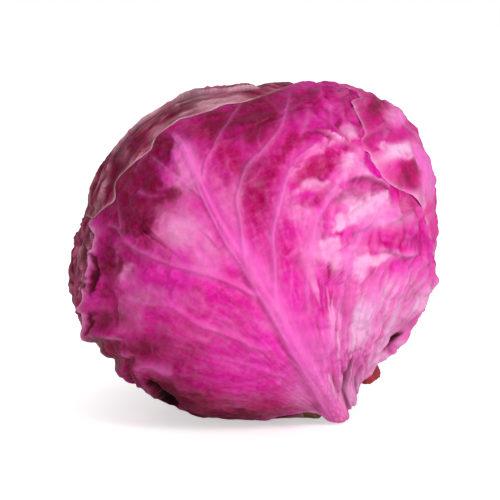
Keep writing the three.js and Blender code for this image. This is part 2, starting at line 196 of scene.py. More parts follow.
class Leaf:
    """A leaf's outline about its centre direction, with its place in the layers."""

    def __init__(self, name, centre, outline, order):
        self.name, self.order = name, order
        self.ceiling = None
        self.c = unit(centre)
        if name == "leaf_front":
            self.along = np.array([1.0, 0, 0])
        else:
            self.along = unit(STEM_AXIS - STEM_AXIS.dot(self.c) * self.c)
        self.across = np.cross(self.c, self.along)
        o = np.array(outline, float)
        self.x, self.y = np.radians(o[:, 0]), np.radians(o[:, 1])
        n = len(o)
        nx = np.append(self.x[1:], self.x[0] + 2 * np.pi)
        ny = np.append(self.y[1:], self.y[0])
        self.h = nx - self.x
        sl = (ny - self.y) / self.h
        pr = np.roll(sl, 1)
        self.m = np.where(pr * sl > 0, 2 * pr * sl / np.where(pr + sl == 0, 1, pr + sl), 0)
        # a fine table, closed round, with a slightly wavy margin
        t = np.linspace(-np.pi, np.pi, 2881)
        r = self._reach(t)
        p = self.way(t, r) * 77.0
        self.ta = t
        self.tr = r + (0.75 * noise(p / 9.0, 40 + order) + 0.45 * noise(p / 4.0, 50 + order) + 0.22 * noise(p / 1.9, 60 + order)) / 77.0

        tilt = np.abs(np.gradient(self.tr, self.ta)) / np.sin(np.clip(self.tr, 0.3, 2.2))
        best = None
        for k in range(46):
            turn = math.radians(2.0 * k)
            worst = max(np.interp(np.radians(45 + 90 * j + w) + turn - 2 * np.pi * (np.radians(45 + 90 * j + w) + turn > np.pi), self.ta, tilt) for j in range(-2, 2) for w in (-2, 0, 2))
            if best is None or worst < best[0]:
                best = (worst, turn)
        self.spin = best[1]

    def _reach(self, a):
        t = (a - self.x[0]) % (2 * np.pi) + self.x[0]
        i = np.clip(np.searchsorted(self.x, t, side="right") - 1, 0, len(self.x) - 1)
        j = (i + 1) % len(self.x)
        h = self.h[i]
        f = (t - self.x[i]) / h
        return ((1 + 2 * f) * (1 - f) ** 2 * self.y[i] + f * (1 - f) ** 2 * h * self.m[i]
                + f * f * (3 - 2 * f) * self.y[j] + f * f * (f - 1) * h * self.m[j])

    def reach(self, a):
        return np.interp((a + np.pi) % (2 * np.pi) - np.pi, self.ta, self.tr)

    def way(self, a, r):
        """Directions at angle a, angular distance r from the centre."""
        return (self.c * np.cos(r)[:, None] + (self.along * np.cos(a)[:, None] + self.across * np.sin(a)[:, None]) * np.sin(r)[:, None])

    def plane(self, d):
        r = np.arccos(np.clip(d @ self.c, -1, 1))
        a = np.arctan2(d @ self.across, d @ self.along)
        return a, r

    def inside(self, d):
        """Millimetres inside the margin, about."""
        a, r = self.plane(d)
        e = 0.01
        rho = self.reach(a)
        sl = (self.reach(a + e) - self.reach(a - e)) / (2 * e)
        g = (rho - r) / np.sqrt(1 + (sl / np.maximum(np.sin(rho), 0.2)) ** 2)
        st = np.arccos(np.clip(d @ STEM_AXIS, -1, 1)) - STEM_OPENING
        return np.minimum(g, st) * 77.0


LEAVES = [Leaf(n, c, o, k) for k, (n, c, o) in enumerate(OUTLINES)]
LEAF = {l.name: l for l in LEAVES}
FLARES = {
    "leaf_front": [([0.93, -0.36, 0.05], -0.8, 9), ([0.985, -0.14, 0.05], 1.2, 8), ([0.8, -0.59, 0.08], 0.6, 8),
                   ([-0.82, -0.05, 0.57], 1.6, 9), ([-0.86, -0.36, 0.36], 1.6, 9)],
    "leaf_back": [([-0.99, -0.12, -0.05], 1.2, 5)],
}
HOLLOWS = [([-0.86, -0.08, 0.46], 2.6, 9), ([0.85, -0.5, 0.0], 3.0, 9)]


def hills(items, d):
    out = np.zeros(len(d))
    for at, height, spread in items:
        a = np.degrees(np.arccos(np.clip(d @ unit(at), -1, 1))) / spread
        out += height * np.exp(-a * a)
    return out


def layer_radius(order, d, spare=1.8):
    """Outer radius of the leaf at this place in the layers, with the weight that its own detail gets there."""
    drop, below, press, free = (np.zeros(len(d)), np.zeros(len(d)), np.zeros(len(d)), np.ones(len(d)))
    for l in LEAVES[:order]:
        g = l.inside(d)
        drop += LAYER * (1 - smooth(-g, COVER_FULL, COVER_END))
        below += LAYER * (1 - smooth(-g, COVER_FULL, COVER_END_BELOW))
        free *= 1 - smooth(g, -3.5, 0.5)
        press = np.maximum(press, spare * smooth(g, 3.0, 12.0))
    if order >= 4:
        drop += hills(HOLLOWS, d)
    return head_radius(d) - drop, rest_radius(d) - below, press, free


# ------------------------------------------------------------------ what a surface is built up from
class Skin:
    """Directions of a surface with its height and its colour masks, which hold the leaf's own colour together with
    painted shade, highlight and sheen.
    """

    def __init__(self, d):
        self.d = d
        self.h = np.zeros(len(d))
        self.vein = np.zeros(len(d))
        # pale and dark: the leaf's own lighter and darker colour, together with painted highlight and painted shade
        self.pale = np.zeros(len(d))
        self.dark = np.zeros(len(d))
        self.red = np.zeros(len(d))
        # bloom: the leaf's greyish waxy bloom together with painted sheen and painted reflections
        self.bloom = np.zeros(len(d))
        # painted shade in crevices, gaps and grooves, mixed toward near-black in the colour
        self.crev = np.zeros(len(d))
        self.near = np.full(len(d), 30.0)  # distance to the nearest vein, mm

    def along(self, line, reach=16.0):
        """Points within reach mm of a line of directions: index, distance, place along 0..1, side."""
        mid = unit(line.mean(0))
        ext = np.arccos(np.clip(line @ mid, -1, 1)).max() + reach / 77.0
        near = np.flatnonzero(self.d @ mid > math.cos(min(ext, math.pi)))
        if not len(near):
            return near, None, None, None
        q = self.d[near]
        seg = np.linalg.norm(np.diff(line, axis=0), axis=1)
        cum = np.concatenate([[0], np.cumsum(seg)])
        best = np.full(len(q), 9.0)
        place, side = np.zeros(len(q)), np.zeros(len(q))
        for i in range(len(line) - 1):
            a, ab = line[i], line[i + 1] - line[i]
            qa = q - a
            t = np.clip(qa @ ab / (ab @ ab), 0, 1)
            d2 = ((qa - t[:, None] * ab) ** 2).sum(1)
            m = d2 < best
            best[m] = d2[m]
            place[m] = (cum[i] + t[m] * seg[i]) / cum[-1]
            side[m] = np.sign((qa @ np.cross(a, ab))[m])
        dist = np.sqrt(best) * 77.0
        ok = dist < reach
        return near[ok], dist[ok], place[ok], side[ok]

    def vein_line(self, line, w, h, c, trough=0.25, ends=(0.02, 0.12), pale_w=2.0, pale=0.0, edge=0.0, edge_side=1):
        """A raised vein: half width, height and colour at its start and end, and a thin darker, redder line on one side
        as painted shadow.
        """
        i, s, t, side = self.along(line, 12.0)
        if not len(i):
            return
        ww = w[0] + (w[1] - w[0]) * t
        hh = h[0] + (h[1] - h[0]) * t
        cc = c[0] + (c[1] - c[0]) * t
        e = smooth(t, 0, ends[0]) * (1 - smooth(t, 1 - ends[1], 1))
        x = s / ww
        self.h[i] += e * hh * (np.exp(-x ** 2) - trough * np.exp(-(x / 2.6) ** 2))
        cc = cc * (0.85 + 0.7 * noise(self.d[i] * 77.0 / 9.0, 81))
        self.vein[i] = np.maximum(self.vein[i], e * cc * (0.55 * np.exp(-(x / 0.75) ** 2) + 0.4 * np.exp(-(x / 2.2) ** 2)))
        # painted shadow: a thin darker, redder line beside the vein
        if edge:
            q = np.where(side == edge_side, s, -s)
            self.red[i] += 1.2 * e * edge * np.exp(-((q - 0.75 * ww) / 0.5) ** 2)
            self.dark[i] += 0.3 * e * edge * np.exp(-((q - 0.75 * ww) / 0.4) ** 2)
            self.h[i] -= e * edge * 0.25 * hh * np.exp(-((q - 0.9 * ww) / 0.5) ** 2)
        if pale:
            self.pale[i] += e * pale * np.exp(-(x / pale_w) ** 2)
        self.near[i] = np.minimum(self.near[i], s + (1 - e) * 6)

    def fold(self, line, h, steep, gentle, ends=(0.1, 0.1), pale=0.0, dark=0.0):
        """A fold: crest with a steep side (left of the line's way) and a gentle one, with a painted highlight on the
        crest and painted shade below the steep side.
        """
        i, s, t, side = self.along(line, max(steep, gentle) * 3.2)
        if not len(i):
            return
        e = smooth(t, 0, ends[0] + 1e-6) * (1 - smooth(t, 1 - ends[1] - 1e-6, 1))
        w = np.where(side > 0, steep, gentle)
        self.h[i] += e * h * np.exp(-s / w)
        if pale:
            self.pale[i] += e * pale * np.exp(-(s / 1.1) ** 2)
        if dark:
            self.dark[i] += e * dark * np.where(side > 0, np.exp(-((s - 1.2) / 1.3) ** 2), 0)
            self.crev[i] += e * 0.3 * dark * np.where(side > 0, np.exp(-((s - 0.9) / 0.7) ** 2), 0)

    def groove(self, line, depth, w, ends=(0.1, 0.1), dark=0.0):
        i, s, t, _ = self.along(line, max(w) * 3.5)
        if not len(i):
            return
        e = smooth(t, 0, ends[0] + 1e-6) * (1 - smooth(t, 1 - ends[1] - 1e-6, 1))
        ww = w[0] + (w[1] - w[0]) * t
        dd = depth[0] + (depth[1] - depth[0]) * t
        self.h[i] -= e * dd * np.exp(-(s / ww) ** 2)
        # painted shade inside the groove
        if dark:
            self.dark[i] += e * min(dark, 1.0) * np.exp(-(s / (ww * 1.3)) ** 2)
            self.crev[i] += e * max(dark - 0.25, 0) * np.exp(-(s / (ww * 0.9)) ** 2)

    def project(self):
        P = self.d * head_radius(self.d)[:, None]
        self.px, self.py = project(P)
        self.seen = smooth(self.d[:, 2], -0.12, 0.1)

    def blob(self, what, x, y, rx, ry, turn, v):
        a = math.radians(turn)
        dx, dy = self.px - x, self.py - y
        u = (dx * math.cos(a) - dy * math.sin(a)) / rx
        q = (dx * math.sin(a) + dy * math.cos(a)) / ry
        k = np.exp(-(u * u + q * q) ** 1.3) * self.seen * v
        arr = getattr(self, what)
        arr += k

    def patch(self, pts, soft=2.0, keep=0.35, **masks):
        """A patch outlined in pixels of the view: the masks there are taken to the given values."""
        pts = np.array(pts, float)
        i = np.flatnonzero((self.px > pts[:, 0].min() - 6) & (self.px < pts[:, 0].max() + 6) & (self.py > pts[:, 1].min() - 6) & (self.py < pts[:, 1].max() + 6) & (self.d[:, 2] > -0.1))
        if not len(i):
            return
        q = self.d[i] * 77.0
        x = self.px[i] + 6.0 * noise(q / 6.0, 91) + 3.5 * noise(q / 2.0, 93)
        y = self.py[i] + 6.0 * noise(q / 6.0, 92) + 3.5 * noise(q / 2.0, 94)
        best, inside = np.full(len(i), 1e9), np.zeros(len(i), bool)
        for (ax, ay), (bx, by) in zip(pts, np.roll(pts, -1, 0)):
            t = np.clip(((x - ax) * (bx - ax) + (y - ay) * (by - ay)) / ((bx - ax) ** 2 + (by - ay) ** 2), 0, 1)
            best = np.minimum(best, np.hypot(x - ax - t * (bx - ax), y - ay - t * (by - ay)))
            inside ^= ((ay > y) != (by > y)) & (x < (bx - ax) * (y - ay) / (by - ay if by != ay else 1e-9) + ax)
        m = smooth(np.where(inside, best, -best), -soft, soft * (1.6 if "crev" in masks else 2.6)) * self.seen[i]
        if "crev" not in masks:
            m *= clip01(0.82 + 0.9 * noise(q / 4.2, 95) + 0.6 * noise(q * np.array([1.0, 0.6, 1.0]) / 1.6, 96))
        for what in ("dark", "pale", "red", "bloom"):
            arr = getattr(self, what)
            arr[i] = arr[i] * (1 - (1 - keep) * m) + masks.get(what, 0.0) * m
        for what in ("vein", "crev"):
            if what in masks:
                getattr(self, what)[i] += masks[what] * m
        if "h" in masks:
            self.h[i] += masks["h"] * m

    def stroke(self, what, line, w, v, ends=(0.15, 0.15)):
        """A line of colour without relief, w mm wide, used for painted highlight, shade and sheen lines."""
        i, s, t, _ = self.along(line, w * 3)
        if len(i):
            getattr(self, what)[i] += v * smooth(t, 0, ends[0] + 1e-6) * (1 - smooth(t, 1 - ends[1] - 1e-6, 1)) * np.exp(-(s / w) ** 2)

    def limb_streaks(self, seed):
        """Streaks that run along the head's outline in the view, about -1..1."""
        x, y = self.px - 252, 246 - self.py
        r, a = np.hypot(x, y), np.arctan2(y, x)
        r = r + 5 * noise(np.stack([a * 3.5, r / 40, 0 * a], 1), seed)
        return 1.5 * noise(np.stack([r / 3.2, a * 5, 0 * a], 1), seed + 1) + 0.8 * noise(np.stack([r / 1.5, a * 9, 0 * a + 3], 1), seed + 2)

    def fan_streaks(self, seed, x0=338.0, y0=416.0):
        """Streaks that run together at the leaf's base."""
        x, y = self.px - x0, y0 - self.py
        r, a = np.hypot(x, y), np.arctan2(y, x)
        a = a + 0.06 * noise(np.stack([a * 3, r / 80, 0 * a], 1), seed)
        return 0.8 * noise(np.stack([a * 9, r / 60, 0 * a], 1), seed + 1) + 0.9 * noise(np.stack([a * 22, r / 42, 0 * a + 5], 1), seed + 2) + 0.8 * noise(np.stack([a * 50, r / 60, 0 * a + 9], 1), seed + 3)

    def bump(self, x, y, rx, ry, turn, h):
        a = math.radians(turn)
        dx, dy = self.px - x, self.py - y
        u = (dx * math.cos(a) - dy * math.sin(a)) / rx
        q = (dx * math.sin(a) + dy * math.cos(a)) / ry
        self.h += np.exp(-(u * u + q * q)) * self.seen * h


def round_line(pts, per=5):
    """Catmull-Rom through directions."""
    p = np.asarray(pts, float)
    q = np.vstack([2 * p[0] - p[1], p, 2 * p[-1] - p[-2]])
    t = np.linspace(0, 1, per, endpoint=False)[:, None]
    out = []
    for i in range(1, len(q) - 2):
        a, b, c, d = q[i - 1], q[i], q[i + 1], q[i + 2]
        out.append(b + 0.5 * t * (c - a + t * (2 * a - 5 * b + 4 * c - d + t * (3 * (b - c) + d - a))))
    out.append(p[-1:])
    return unit(np.vstack(out))


def seen_line(pts, per=3):
    return round_line(unproject(pts), per)


# ------------------------------------------------------------------ procedural veins of a leaf
def leaf_veins(leaf, seed, pairs=7, bend=0.0, size=1.0, lift=1.0):
    """Midrib, laterals and their forks as (line, half widths, heights, colours)."""
    rng = np.random.RandomState(seed)
    base = math.degrees(leaf.reach(np.array([0.0]))[0]) - 0.5
    tip = -(math.degrees(leaf.reach(np.array([math.pi]))[0]) - 5)
    n = 26
    x = np.linspace(base, tip, n)
    y = bend * np.sin(np.linspace(0, math.pi, n)) + rng.normal(0, 0.3, n).cumsum() * 0.12
    def ways(X, Y):
        X, Y = np.asarray(X, float), np.asarray(Y, float)
        return leaf.way(np.arctan2(Y, X), np.radians(np.hypot(X, Y)))
    def room(X, Y):
        a, r = math.atan2(Y, X), math.hypot(X, Y)
        return math.degrees(leaf.reach(np.array([a]))[0]) - r
    out = [(ways(x, y), (4.6 * size, 0.9), (2.6 * lift, 0.35), (1.0, 0.55), 0)]
    for k in range(pairs):
        for sgn in (-1, 1):
            f = 0.05 + 0.80 * (k + (0.0 if sgn > 0 else 0.42) + rng.uniform(-0.08, 0.08)) / pairs
            i = int(f * (n - 1))
            px, py = x[i], y[i]
            ang = math.radians(rng.uniform(46, 60) - 12 * f)
            pts = [(px, py)]
            turn = math.radians(rng.uniform(16, 30)) / 30
            forks = []
            for s in range(60):
                px -= math.cos(ang) * 1.5
                py += sgn * math.sin(ang) * 1.5
                ang -= turn * (1 if s < 30 else 0.2) + rng.normal(0, 0.012)
                if room(px, py) < 2.5:
                    break
                pts.append((px, py))
                if s in (9, 17, 26, 36):
                    forks.append((px, py, ang, s))
            if len(pts) < 4:
                continue
            p = np.array(pts[::2] if len(pts) > 6 else pts)
            wide = 1.7 * size * (1 - 0.45 * f)
            out.append((ways(p[:, 0], p[:, 1]), (wide, 0.55), (1.15 * lift * (1 - 0.4 * f), 0.25), (0.85, 0.4), 1))
            for j, (qx, qy, qa, s) in enumerate(forks):
                way = 1 if (j + k) % 2 else -1
                a = qa + way * math.radians(rng.uniform(30, 46))
                q = [(qx, qy)]
                for _ in range(14):
                    qx -= math.cos(a) * 1.5
                    qy += sgn * math.sin(a) * 1.5
                    a -= way * 0.035 + rng.normal(0, 0.03)
                    if room(qx, qy) < 2.0:
                        break
                    q.append((qx, qy))
                if len(q) > 4:
                    q = np.array(q)[::2] if len(q) > 6 else np.array(q)
                    out.append((ways(q[:, 0], q[:, 1]), (0.85, 0.4), (0.5 * lift, 0.1), (0.5, 0.15), 2))
    return out


def add_veins(sk, veins, trough=0.25, weight=None):
    for line, w, h, c, rank in veins:
        sk.vein_line(round_line(line, 3), w, h, c, trough=trough, pale=(0.5, 0.22, 0.0)[rank] if rank < 2 else 0)


def lamina(sk, seed, pucker=0.9, lumps=0.7):
    """Blistered blade between the veins, and slow lumps."""
    between = 1 - np.exp(-(sk.near / 5.0) ** 2)
    n1 = fbm(sk.d, 16.0, seed, 2)
    n2 = fbm(sk.d, 6.5, seed + 5, 2)
    sk.h += between * (0.35 * pucker + pucker * 0.9 * n1 + 0.45 * pucker * n2)
    sk.h += lumps * fbm(sk.d, 38.0, seed + 9, 2)
    sk.h += 0.55 * pucker * between * blisters(sk.d, (8, 8, 8), seed + 300)


def edge_lift(sk, g, amount, spread, seed, wave=0.5, cell=11.0):
    n = noise(sk.d * (77.0 / cell), seed) * 1.4
    sk.h += amount * (1 + wave * n) * np.exp(-np.maximum(g, 0) / spread)


# ------------------------------------------------------------------ a leaf's closed mesh
def square_to_disc(n):
    """Grid points of a square as (share of the way out 0..1, angle), n + 1 by n + 1."""
    t = np.linspace(-1, 1, n + 1)
    u, v = np.meshgrid(t, t, indexing="ij")
    s = np.maximum(np.abs(u), np.abs(v))
    q = np.pi / 4
    with np.errstate(divide="ignore", invalid="ignore"):
        a = np.where(np.abs(u) >= np.abs(v),
                     np.where(u >= 0, q * v / u, np.pi + q * v / u),
                     np.where(v >= 0, np.pi / 2 - q * u / v, -np.pi / 2 - q * u / v))
    a[s == 0] = 0
    return s.ravel(), ((a.ravel() + np.pi) % (2 * np.pi)) - np.pi


def disc_to_square(s, a):
    q = np.pi / 4
    a = np.mod(a + q, 2 * np.pi) - q
    k = np.minimum((a + q) // (2 * q), 3).astype(int)
    f = (a - k * 2 * q) / q
    u = np.where(k == 0, s, np.where(k == 1, -s * f, np.where(k == 2, -s, s * f)))
    v = np.where(k == 0, s * f, np.where(k == 1, s, np.where(k == 2, -s * f, -s)))
    return u, v


def grid_quads(n, first=0, flip=False):
    i, j = np.meshgrid(np.arange(n), np.arange(n), indexing="ij")
    a = (i * (n + 1) + j).ravel() + first
    b = a + (n + 1)
    q = np.stack([a, b, b + 1, a + 1], 1)
    return q[:, ::-1] if flip else q


def border(n):
    """Indices round a grid, anticlockwise in (u, v)."""
    k = np.arange(n)
    return np.concatenate([
        k * (n + 1),                       # v = -1, u rising
        n * (n + 1) + k,                   # u = 1, v rising
        (n - k) * (n + 1) + n,             # v = 1, u falling
        (n - k)])                          # u = -1, v falling


def window_min(a, w):
    out = a.copy()
    for ax in (0, 1):
        src = out
        acc = src.copy()
        for k in range(1, w + 1):
            fwd = np.roll(src, k, ax)
            bwd = np.roll(src, -k, ax)
            if ax == 0:
                fwd[:k], bwd[-k:] = src[:k], src[-k:]
            else:
                fwd[:, :k], bwd[:, -k:] = src[:, :k], src[:, -k:]
            acc = np.minimum(acc, np.minimum(fwd, bwd))
        out = acc
    return out


def ceiling_at(leaf, d):
    """Inner radius of a leaf that is already made, or a large number where it doesn't reach."""
    out = np.full(len(d), 1e9)
    if leaf.ceiling is None:
        return out
    a, r = leaf.plane(d)
    s = r / leaf.reach(a)
    ok = np.flatnonzero(s < 1)
    u, v = disc_to_square(s[ok], a[ok] - leaf.spin)
    n = leaf.ceiling.shape[0] - 1
    x, y = (u + 1) * 0.5 * n, (v + 1) * 0.5 * n
    i, j = np.clip(x.astype(int), 0, n - 1), np.clip(y.astype(int), 0, n - 1)
    fx, fy = x - i, y - j
    c = leaf.ceiling
    out[ok] = ((1 - fx) * (1 - fy) * c[i, j] + fx * (1 - fy) * c[i + 1, j] + (1 - fx) * fy * c[i, j + 1] + fx * fy * c[i + 1, j + 1])
    return out


def finish_mesh(name, verts, faces, masks, mat, node):
    me = bpy.data.meshes.new(name)
    quads = [f for f in faces if f.shape[1] == 4]
    tris = [f for f in faces if f.shape[1] == 3]
    loops = np.concatenate([f.ravel() for f in quads + tris])
    sizes = np.concatenate([np.full(len(f), f.shape[1]) for f in quads + tris])
    me.vertices.add(len(verts))
    me.vertices.foreach_set("co", verts.astype(np.float32).ravel())
    me.loops.add(len(loops))
    me.loops.foreach_set("vertex_index", loops.astype(np.int32))
    me.polygons.add(len(sizes))
    me.polygons.foreach_set("loop_start", np.concatenate([[0], np.cumsum(sizes)[:-1]]).astype(np.int32))
    me.polygons.foreach_set("use_smooth", np.ones(len(sizes), bool))
    for k, arr in masks.items():
        at = me.attributes.new(k, "FLOAT_COLOR", "POINT")
        at.data.foreach_set("color", arr.astype(np.float32).ravel())
    me.update(calc_edges=True)
    me.validate()
    ob = bpy.data.objects.new(name, me)
    bpy.context.scene.collection.objects.link(ob)
    me.materials.append(mat)
    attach(ob, "root")
    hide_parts(node)
    return ob


def clip01(x):
    return np.clip(x, 0, 1)


def build_leaf(leaf, n, detail, mat, thick=0.8, settle=None):
    """detail(sk, g, leaf) sets the height and masks of a Skin."""
    s, a = square_to_disc(n)
    a = (a + leaf.spin + np.pi) % (2 * np.pi) - np.pi
    rho = leaf.reach(a)
    d = leaf.way(a, s * rho)
    sk = Skin(d)
    sk.project()
    e = 0.01
    sl = (leaf.reach(a + e) - leaf.reach(a - e)) / (2 * e)
    g = (rho * (1 - s)) / np.sqrt(1 + (sl / np.maximum(np.sin(rho), 0.2)) ** 2) * 77.0
    base, rest, press, free = layer_radius(leaf.order, d)
    detail(sk, g, leaf)
    r = base + sk.h * free - press
    if settle is not None:
        calm = 1 - 0.6 * sk.seen * (1 - smooth(g, 0.0, 3.2))
        r = base + sk.h * free * calm - press - settle(sk, g) * free
    if leaf.name in FLARES:
        r += hills(FLARES[leaf.name], d) * free * 0.6
    if leaf.name == "leaf_front":
        r += hills([([0.470, -0.868, 0.165], 11, 8), ([0.4, -0.8, 0.45], 2.5, 9), ([0.27, -0.55, 0.79], 1.2, 9)], d)
    # eased into the level it rests on
    k = 1.2
    r = np.where(r - rest > 6 * k, rest, r - k * np.log1p(np.exp(np.clip((r - rest) / k, -40, 40)))) if leaf.name != "leaf_left" else np.minimum(r, rest)
    for up in LEAVES[:leaf.order]:
        r = np.minimum(r, ceiling_at(up, d) - 0.2)
    R = r.reshape(n + 1, n + 1)
    m = n // 4
    low = window_min(R, 4)[::4, ::4]
    rim = np.minimum.reduce([np.abs(np.arange(m + 1)), m - np.arange(m + 1)])
    edge = np.minimum(rim[:, None], rim[None, :])
    t = thick * np.where(edge == 0, 0.62, np.where(edge == 1, 0.8, 1.0))
    inner = np.where(edge == 0, R[::4, ::4], low) - t
    leaf.ceiling = window_min(R, 2) - thick
    D3 = d.reshape(n + 1, n + 1, 3)
    # outer sheet, a rounded rim, and a coarser inner sheet
    outer = D3 * R[..., None]
    bo = border(n)
    rim_s = 1 + 0.28 / (77.0 * np.maximum(rho[bo], 0.3))
    dm = leaf.way(a[bo], rho[bo] * rim_s)
    mid = dm * (r[bo] - 0.33 * thick)[:, None]
    inn = D3[::4, ::4] * inner[..., None]
    verts = np.concatenate([outer.reshape(-1, 3), mid, inn.reshape(-1, 3)])
    n_out, n_mid = (n + 1) ** 2, 4 * n
    bm = np.arange(n_mid) + n_out
    bi = border(m) + n_out + n_mid
    faces = [grid_quads(n), grid_quads(m, n_out + n_mid, flip=True)]
    k0 = np.arange(n_mid)
    k1 = (k0 + 1) % n_mid
    faces.append(np.stack([bo[k1], bo[k0], bm[k0], bm[k1]], 1))
    j0 = np.arange(4 * m)
    j1 = (j0 + 1) % (4 * m)
    A, B = bi[j0], bi[j1]
    q = [bm[(4 * j0 + i) % n_mid] for i in range(5)]
    faces.append(np.stack([q[1], q[0], A], 1))
    faces.append(np.stack([q[2], q[1], A], 1))
    faces.append(np.stack([q[2], A, B], 1))
    faces.append(np.stack([q[3], q[2], B], 1))
    faces.append(np.stack([q[4], q[3], B], 1))
    # which way round the sheet lies
    p = outer.reshape(-1, 3)
    f = faces[0]
    mid_f = len(f) // 2 + n // 2
    nn = np.cross(p[f[mid_f, 1]] - p[f[mid_f, 0]], p[f[mid_f, 2]] - p[f[mid_f, 0]])
    if nn @ p[f[mid_f, 0]] < 0:
        faces = [x[:, ::-1] for x in faces]
    def spread(v):
        V = v.reshape(n + 1, n + 1)
        return np.concatenate([v, v[bo], V[::4, ::4].ravel()])
    # lip: paler along the margin, partly the thin edge's own colour and partly a painted highlight where the cut edge
    # catches the light
    lip = np.exp(-g / 0.9)
    under = np.concatenate([np.zeros(n_out), np.full(n_mid, 0.5), np.ones(len(inn.reshape(-1, 3)))])
    tone = np.stack([clip01(spread(sk.vein)), clip01(spread(sk.pale)), clip01(spread(sk.dark)), clip01(spread(sk.bloom))], 1)
    more = np.stack([clip01(spread(sk.red)), clip01(spread(lip)), under, clip01(spread(sk.crev))], 1)
    return finish_mesh("cabbage_" + leaf.name, to_world(verts), faces, {"tone": tone, "more": more}, mat, leaf.name)


# ------------------------------------------------------------------ the front leaf, as seen
def front_detail(sk, g, leaf):
    L = lambda *p: seen_line(np.array(p, float))
    mid = L((338, 414), (327, 400), (316, 381), (304, 361), (291, 341), (279, 320), (267, 300), (256, 283), (246, 266), (236, 252), (228, 240), (221, 228), (215, 216), (209, 205), (204, 194), (199, 183), (193, 170), (187, 157), (182, 146), (175, 136), (167, 127))
    lat = [
        # line, half widths mm, heights mm, colours
        (L((262, 300), (248, 291), (221, 278), (189, 269), (171, 264), (152, 256), (137, 249), (126, 240), (118, 232), (112, 226), (97, 224)), (2.3, 0.9), (1.5, 0.7), (0.8, 0.55)),
        (L((118, 232), (117, 215), (115, 200), (117, 188)), (1.1, 0.5), (0.7, 0.2), (0.5, 0.15)),
        (L((272, 352), (261, 347), (234, 336), (207, 326), (189, 316), (174, 306), (160, 304), (146, 303), (124, 295), (111, 284)), (2.5, 1.0), (1.5, 0.7), (0.8, 0.5)),
        (L((287, 378), (260, 368), (230, 359), (207, 354), (186, 347), (154, 340)), (2.0, 0.8), (1.0, 0.4), (0.6, 0.35)),
        (L((222, 250), (205, 232), (185, 215), (165, 207)), (1.6, 0.7), (0.9, 0.3), (0.5, 0.3)),
        (L((205, 200), (194, 191), (180, 180), (164, 167), (146, 152)), (1.4, 0.8), (0.9, 0.5), (0.65, 0.5)),
        (L((203, 180), (206, 162), (214, 148), (225, 125), (238, 105), (245, 93)), (1.5, 0.8), (0.9, 0.4), (0.6, 0.4)),
        (L((262, 292), (252, 278), (246, 262), (243, 240), (240, 215), (237, 202), (240, 187), (247, 166), (262, 152), (272, 140), (280, 130), (284, 118), (288, 103), (291, 86)), (2.4, 1.2), (1.5, 0.9), (0.75, 0.6)),
        (L((288, 325), (276, 300), (275, 265), (273, 234), (277, 215), (281, 200), (285, 183), (290, 170), (300, 158), (315, 147), (327, 137)), (2.4, 1.6), (1.5, 1.8), (0.65, 0.95)),
        (L((308, 320), (306, 290), (309, 262), (312, 240), (316, 222), (325, 205), (333, 192), (338, 180), (340, 165), (342, 152)), (2.4, 1.4), (1.4, 1.2), (0.7, 0.8)),
        (L((320, 372), (326, 340), (332, 319), (339, 295), (344, 278), (350, 257), (356, 240), (360, 229), (374, 215), (391, 194)), (2.6, 2.2), (1.6, 1.6), (0.75, 0.85)),
        (L((335, 380), (340, 355), (353, 330), (369, 300), (374, 283), (382, 268), (391, 255)), (2.2, 1.4), (1.4, 1.0), (0.6, 0.65)),
        (L((352, 372), (370, 335), (385, 300), (399, 279), (405, 264), (412, 255)), (1.9, 1.0), (1.3, 0.8), (0.6, 0.55)),
        (L((303, 130), (307, 119), (306, 107)), (0.8, 0.5), (0.5, 0.3), (0.6, 0.3)),
        (L((330, 104), (331, 115), (330, 130)), (1.8, 1.4), (1.0, 0.8), (0.7, 0.5)),
        (L((288, 345), (282, 335), (250, 318), (225, 307), (205, 300)), (1.3, 0.6), (0.6, 0.2), (0.35, 0.15)),
        (L((236, 252), (224, 252), (205, 247), (180, 243), (158, 233)), (1.2, 0.6), (0.5, 0.15), (0.3, 0.15)),
    ]
    for k, (line, w, h, c) in enumerate(lat):
        sk.vein_line(line, (w[0] * 0.58, w[1] * 0.7), h, ((c[0] * 0.7, c[1] * 0.65) if k < 6 else (c[0] * 0.85, c[1] * 0.85)), trough=0.3, ends=(0.06, 0.15), pale=(0.05 if k < 6 else 0.1), edge=(0.5 if k < 6 else 0.3), edge_side=(1 if k < 6 else -1))
    fine = [
        ((262, 300), (268, 270), (262, 240), (262, 215)), ((290, 300), (292, 270), (296, 250), (298, 225)),
        ((171, 264), (175, 250), (182, 240), (185, 226)), ((200, 272), (205, 262), (206, 250)), ((152, 256), (158, 246), (160, 238)),
        ((207, 326), (215, 310), (226, 300)), ((174, 306), (165, 292), (150, 283)), ((234, 336), (225, 345), (205, 343)),
        ((240, 215), (225, 200), (222, 180), (228, 160)), ((240, 187), (255, 178), (262, 165)), ((273, 234), (262, 220), (258, 205)),
        ((146, 152), (138, 160), (131, 172)), ((180, 180), (170, 186), (155, 190)), ((136, 190), (150, 196), (168, 195)),
        ((120, 250), (116, 262), (117, 275)), ((124, 295), (120, 305), (117, 316)), ((146, 303), (141, 316), (139, 330)),
        ((316, 222), (330, 222), (342, 216)), ((344, 278), (334, 285), (322, 287)), ((350, 257), (360, 262), (372, 262)),
        ((310, 262), (322, 250), (332, 246)), ((262, 152), (258, 140), (262, 125)), ((214, 148), (222, 142), (236, 140)),
        ((300, 361), (262, 380), (230, 385), (200, 383)), ((310, 385), (275, 395), (240, 398), (215, 396)),
    ]
    for p in fine:
        sk.vein_line(L(*p), (0.75, 0.4), (0.35, 0.1), (0.35, 0.12), trough=0.2)
